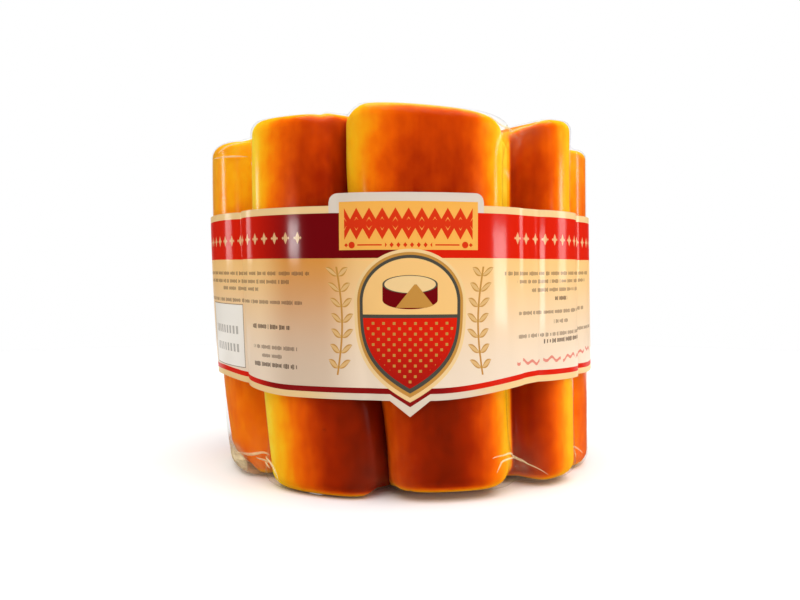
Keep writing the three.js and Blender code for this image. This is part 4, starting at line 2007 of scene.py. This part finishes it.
    def flare(self, azimuth: float) -> float:
        """How far the lower edge stands off at an azimuth, from 0 to 1."""
        away = min(1.0, abs(azimuth - self.flare_azimuth) / self.flare_half_width)
        return (1 + math.cos(math.pi * away)) / 2

    def wrapped(self, run: float, up: float) -> Vector:
        """Point on the drum for a length along the flat band and a height on it."""
        azimuth = self.azimuth_at(run)
        height = self.upper_edge(azimuth) - (self.print_height - up)
        share = height / self.drum.body_height
        drift = self.drum.lean(share) - self.drum.lean(self.middle_share)
        steady = azimuth - math.degrees(drift / self.mean_radius * math.cos(math.radians(azimuth)))
        place = self.drum.place_at(steady, share)
        low = self.lower_edge(azimuth)
        rise = min(max((height - low) / (self.upper_edge(azimuth) - low), 0.0), 1.0)
        offset = self.gap + self.flare_reach * self.flare(azimuth) * (1 - rise)
        past_seam = run - self.track_run[-1]
        offset += 2 * self.thickness * smoothstep(past_seam, *self.lap_rise)
        flat = self.drum.outline(place, share, self.drum.near_valley(place).sink, offset)
        return Vector((flat.x, flat.y, height))

    def finish(self) -> PrintedPaper:
        """The print, laid out on this band's own flat sizes."""
        left, right = (self.run_at(azimuth) / MM for azimuth in self.tab_azimuths)
        tip = self.run_at(self.point_azimuth) / MM
        point = (tip, self.point_half_width / MM)
        return PrintedPaper(height=self.print_height / MM, tab=(left, right), point=point)

    def build(self) -> Piece:
        """Cuts, prints and wraps the band, and hands it to the frame."""
        piece = self.cut_flat()
        self.lay_out_print(piece)
        for vertex in piece.data.vertices:
            vertex.co = self.wrapped(vertex.co.x, vertex.co.y)
        piece.data.update()
        apply_modifier(
            piece, "SOLIDIFY", thickness=self.thickness, offset=1.0, use_even_offset=False
        )
        smooth_shaded(piece, math.radians(self.crease_angle))
        piece.data.materials.append(self.finish().material())
        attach(piece, "root")
        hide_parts("printed_band")
        return piece


# Studio
# ------


@dataclass(frozen=True)
class SoftBox:
    """A soft light: where it stands, its size and its power, aimed at the cheese."""

    name: str
    place: tuple[float, float, float]
    size: Pair
    power: float

    def build(self, target: Vector) -> Piece:
        """Adds the light and turns it to the target."""
        bpy.ops.object.light_add(type="AREA", location=self.place)
        light = bpy.context.object
        light.name = self.name
        light.data.shape = "RECTANGLE"
        light.data.size, light.data.size_y = self.size
        light.data.energy = self.power
        light.rotation_euler = (target - Vector(self.place)).to_track_quat("-Z", "Y").to_euler()
        return light


@dataclass(frozen=True)
class SoftSky:
    """Wide soft light from above, a little to the front and the right, even over the floor."""

    power: float = 3.25
    spread: float = 80.0
    tilt: Pair = (14.0, 7.0)

    def build(self) -> Piece:
        """Adds the light."""
        bpy.ops.object.light_add(type="SUN", location=(0, 0, 1))
        light = bpy.context.object
        light.name = "soft_sky"
        light.data.energy = self.power
        light.data.angle = math.radians(self.spread)
        light.rotation_euler = (*(math.radians(turn) for turn in self.tilt), 0.0)
        return light


@dataclass
class Studio:
    """Pale floor, soft light from both sides and above, and a level camera in front."""

    focal_pixels: float = 704.0
    image_width: float = 800.0
    sensor: float = 36.0
    distance: float = 0.269
    eye_height: float = 0.0573
    axis_pixel: float = 2.0
    horizon_pixel: float = 5.0
    nearest: float = 0.01
    floor_radius: float = 0.75
    floor_corners: int = 96
    world_light: float = 0.42
    mirrored_light: float = 0.06
    backdrop_light: float = 1.0
    backdrop_from: Pair = (0.82, 0.97)
    sky: SoftSky = SoftSky()
    boxes: tuple[SoftBox, ...] = (
        SoftBox("left_window", (-0.636, -0.397, 0.112), (0.08, 0.055), 0.5),
        SoftBox("right_window", (0.640, -0.397, 0.085), (0.15, 0.13), 1.3),
        SoftBox("left_rim", (-0.72, 0.17, 0.16), (0.12, 0.15), 0.5),
        SoftBox("right_rim", (0.74, 0.12, 0.16), (0.12, 0.15), 0.5),
    )

    def camera(self) -> Piece:
        """Adds the level camera."""
        aside = -self.axis_pixel * self.distance / self.focal_pixels
        bpy.ops.object.camera_add(
            location=(aside, -self.distance, self.eye_height), rotation=(math.pi / 2, 0, 0)
        )
        camera = bpy.context.object
        camera.name = "camera"
        camera.data.sensor_width = self.sensor
        camera.data.lens = self.focal_pixels / self.image_width * self.sensor
        camera.data.shift_y = self.horizon_pixel / self.image_width
        camera.data.clip_start = self.nearest
        bpy.context.scene.camera = camera
        return camera

    def floor(self) -> Piece:
        """Adds the floor."""
        deselect_all()
        bpy.ops.mesh.primitive_circle_add(
            vertices=self.floor_corners, radius=self.floor_radius, fill_type="NGON"
        )
        floor = bpy.context.object
        floor.name = "floor"
        floor.data.materials.append(FloorFinish().material())
        return floor

    def world(self) -> bpy.types.World:
        """Sets the surroundings: white to the eye, softer as light, mirrored only from behind."""
        world = bpy.data.worlds.new("studio")
        bpy.context.scene.world = world
        world.use_nodes = True
        nodes = Nodes(world.node_tree)
        world.node_tree.nodes.clear()
        path = nodes.add("LightPath").outputs
        way = nodes.add("SeparateXYZ")
        nodes.join(nodes.add("TexCoord").outputs["Generated"], way.inputs["Vector"])
        behind = Field(nodes, way.outputs["Y"]).rising(*self.backdrop_from)
        mirrored = behind * (self.backdrop_light - self.mirrored_light) + self.mirrored_light
        glossy, seen = (Field(nodes, path[f"Is {kind} Ray"]) for kind in ("Glossy", "Camera"))
        unseen = glossy * (mirrored - self.world_light) + self.world_light
        strength = seen * (1.0 - self.world_light) + unseen
        background = nodes.add("Background")
        nodes.join(strength, background.inputs["Strength"])
        background.inputs["Color"].default_value = (1, 1, 1, 1)
        output = nodes.add("OutputWorld")
        world.node_tree.links.new(background.outputs[0], output.inputs["Surface"])
        return world

    def build(self) -> None:
        """Adds the camera, the floor, the surroundings and the lights."""
        self.camera()
        self.floor()
        self.world()
        self.sky.build()
        for box in self.boxes:
            box.build(Vector((0, 0, self.eye_height)))
        bpy.context.scene.view_settings.view_transform = "Standard"


def main() -> None:
    """Builds the pieces in order and reports each."""
    logging.basicConfig(level=logging.INFO, format="%(name)s: %(message)s")
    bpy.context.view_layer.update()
    studio = Studio()
    studio.build()
    drum = LobedDrum()
    film = ShrinkFilm(drum)
    for maker in (SmokedCheese(drum), film, FilmFolds(film), PrintedBand(drum)):
        piece = maker.build()
        LOG.info("%s: %d faces", piece.name, len(piece.data.polygons))


if __name__ == "__main__":
    main()
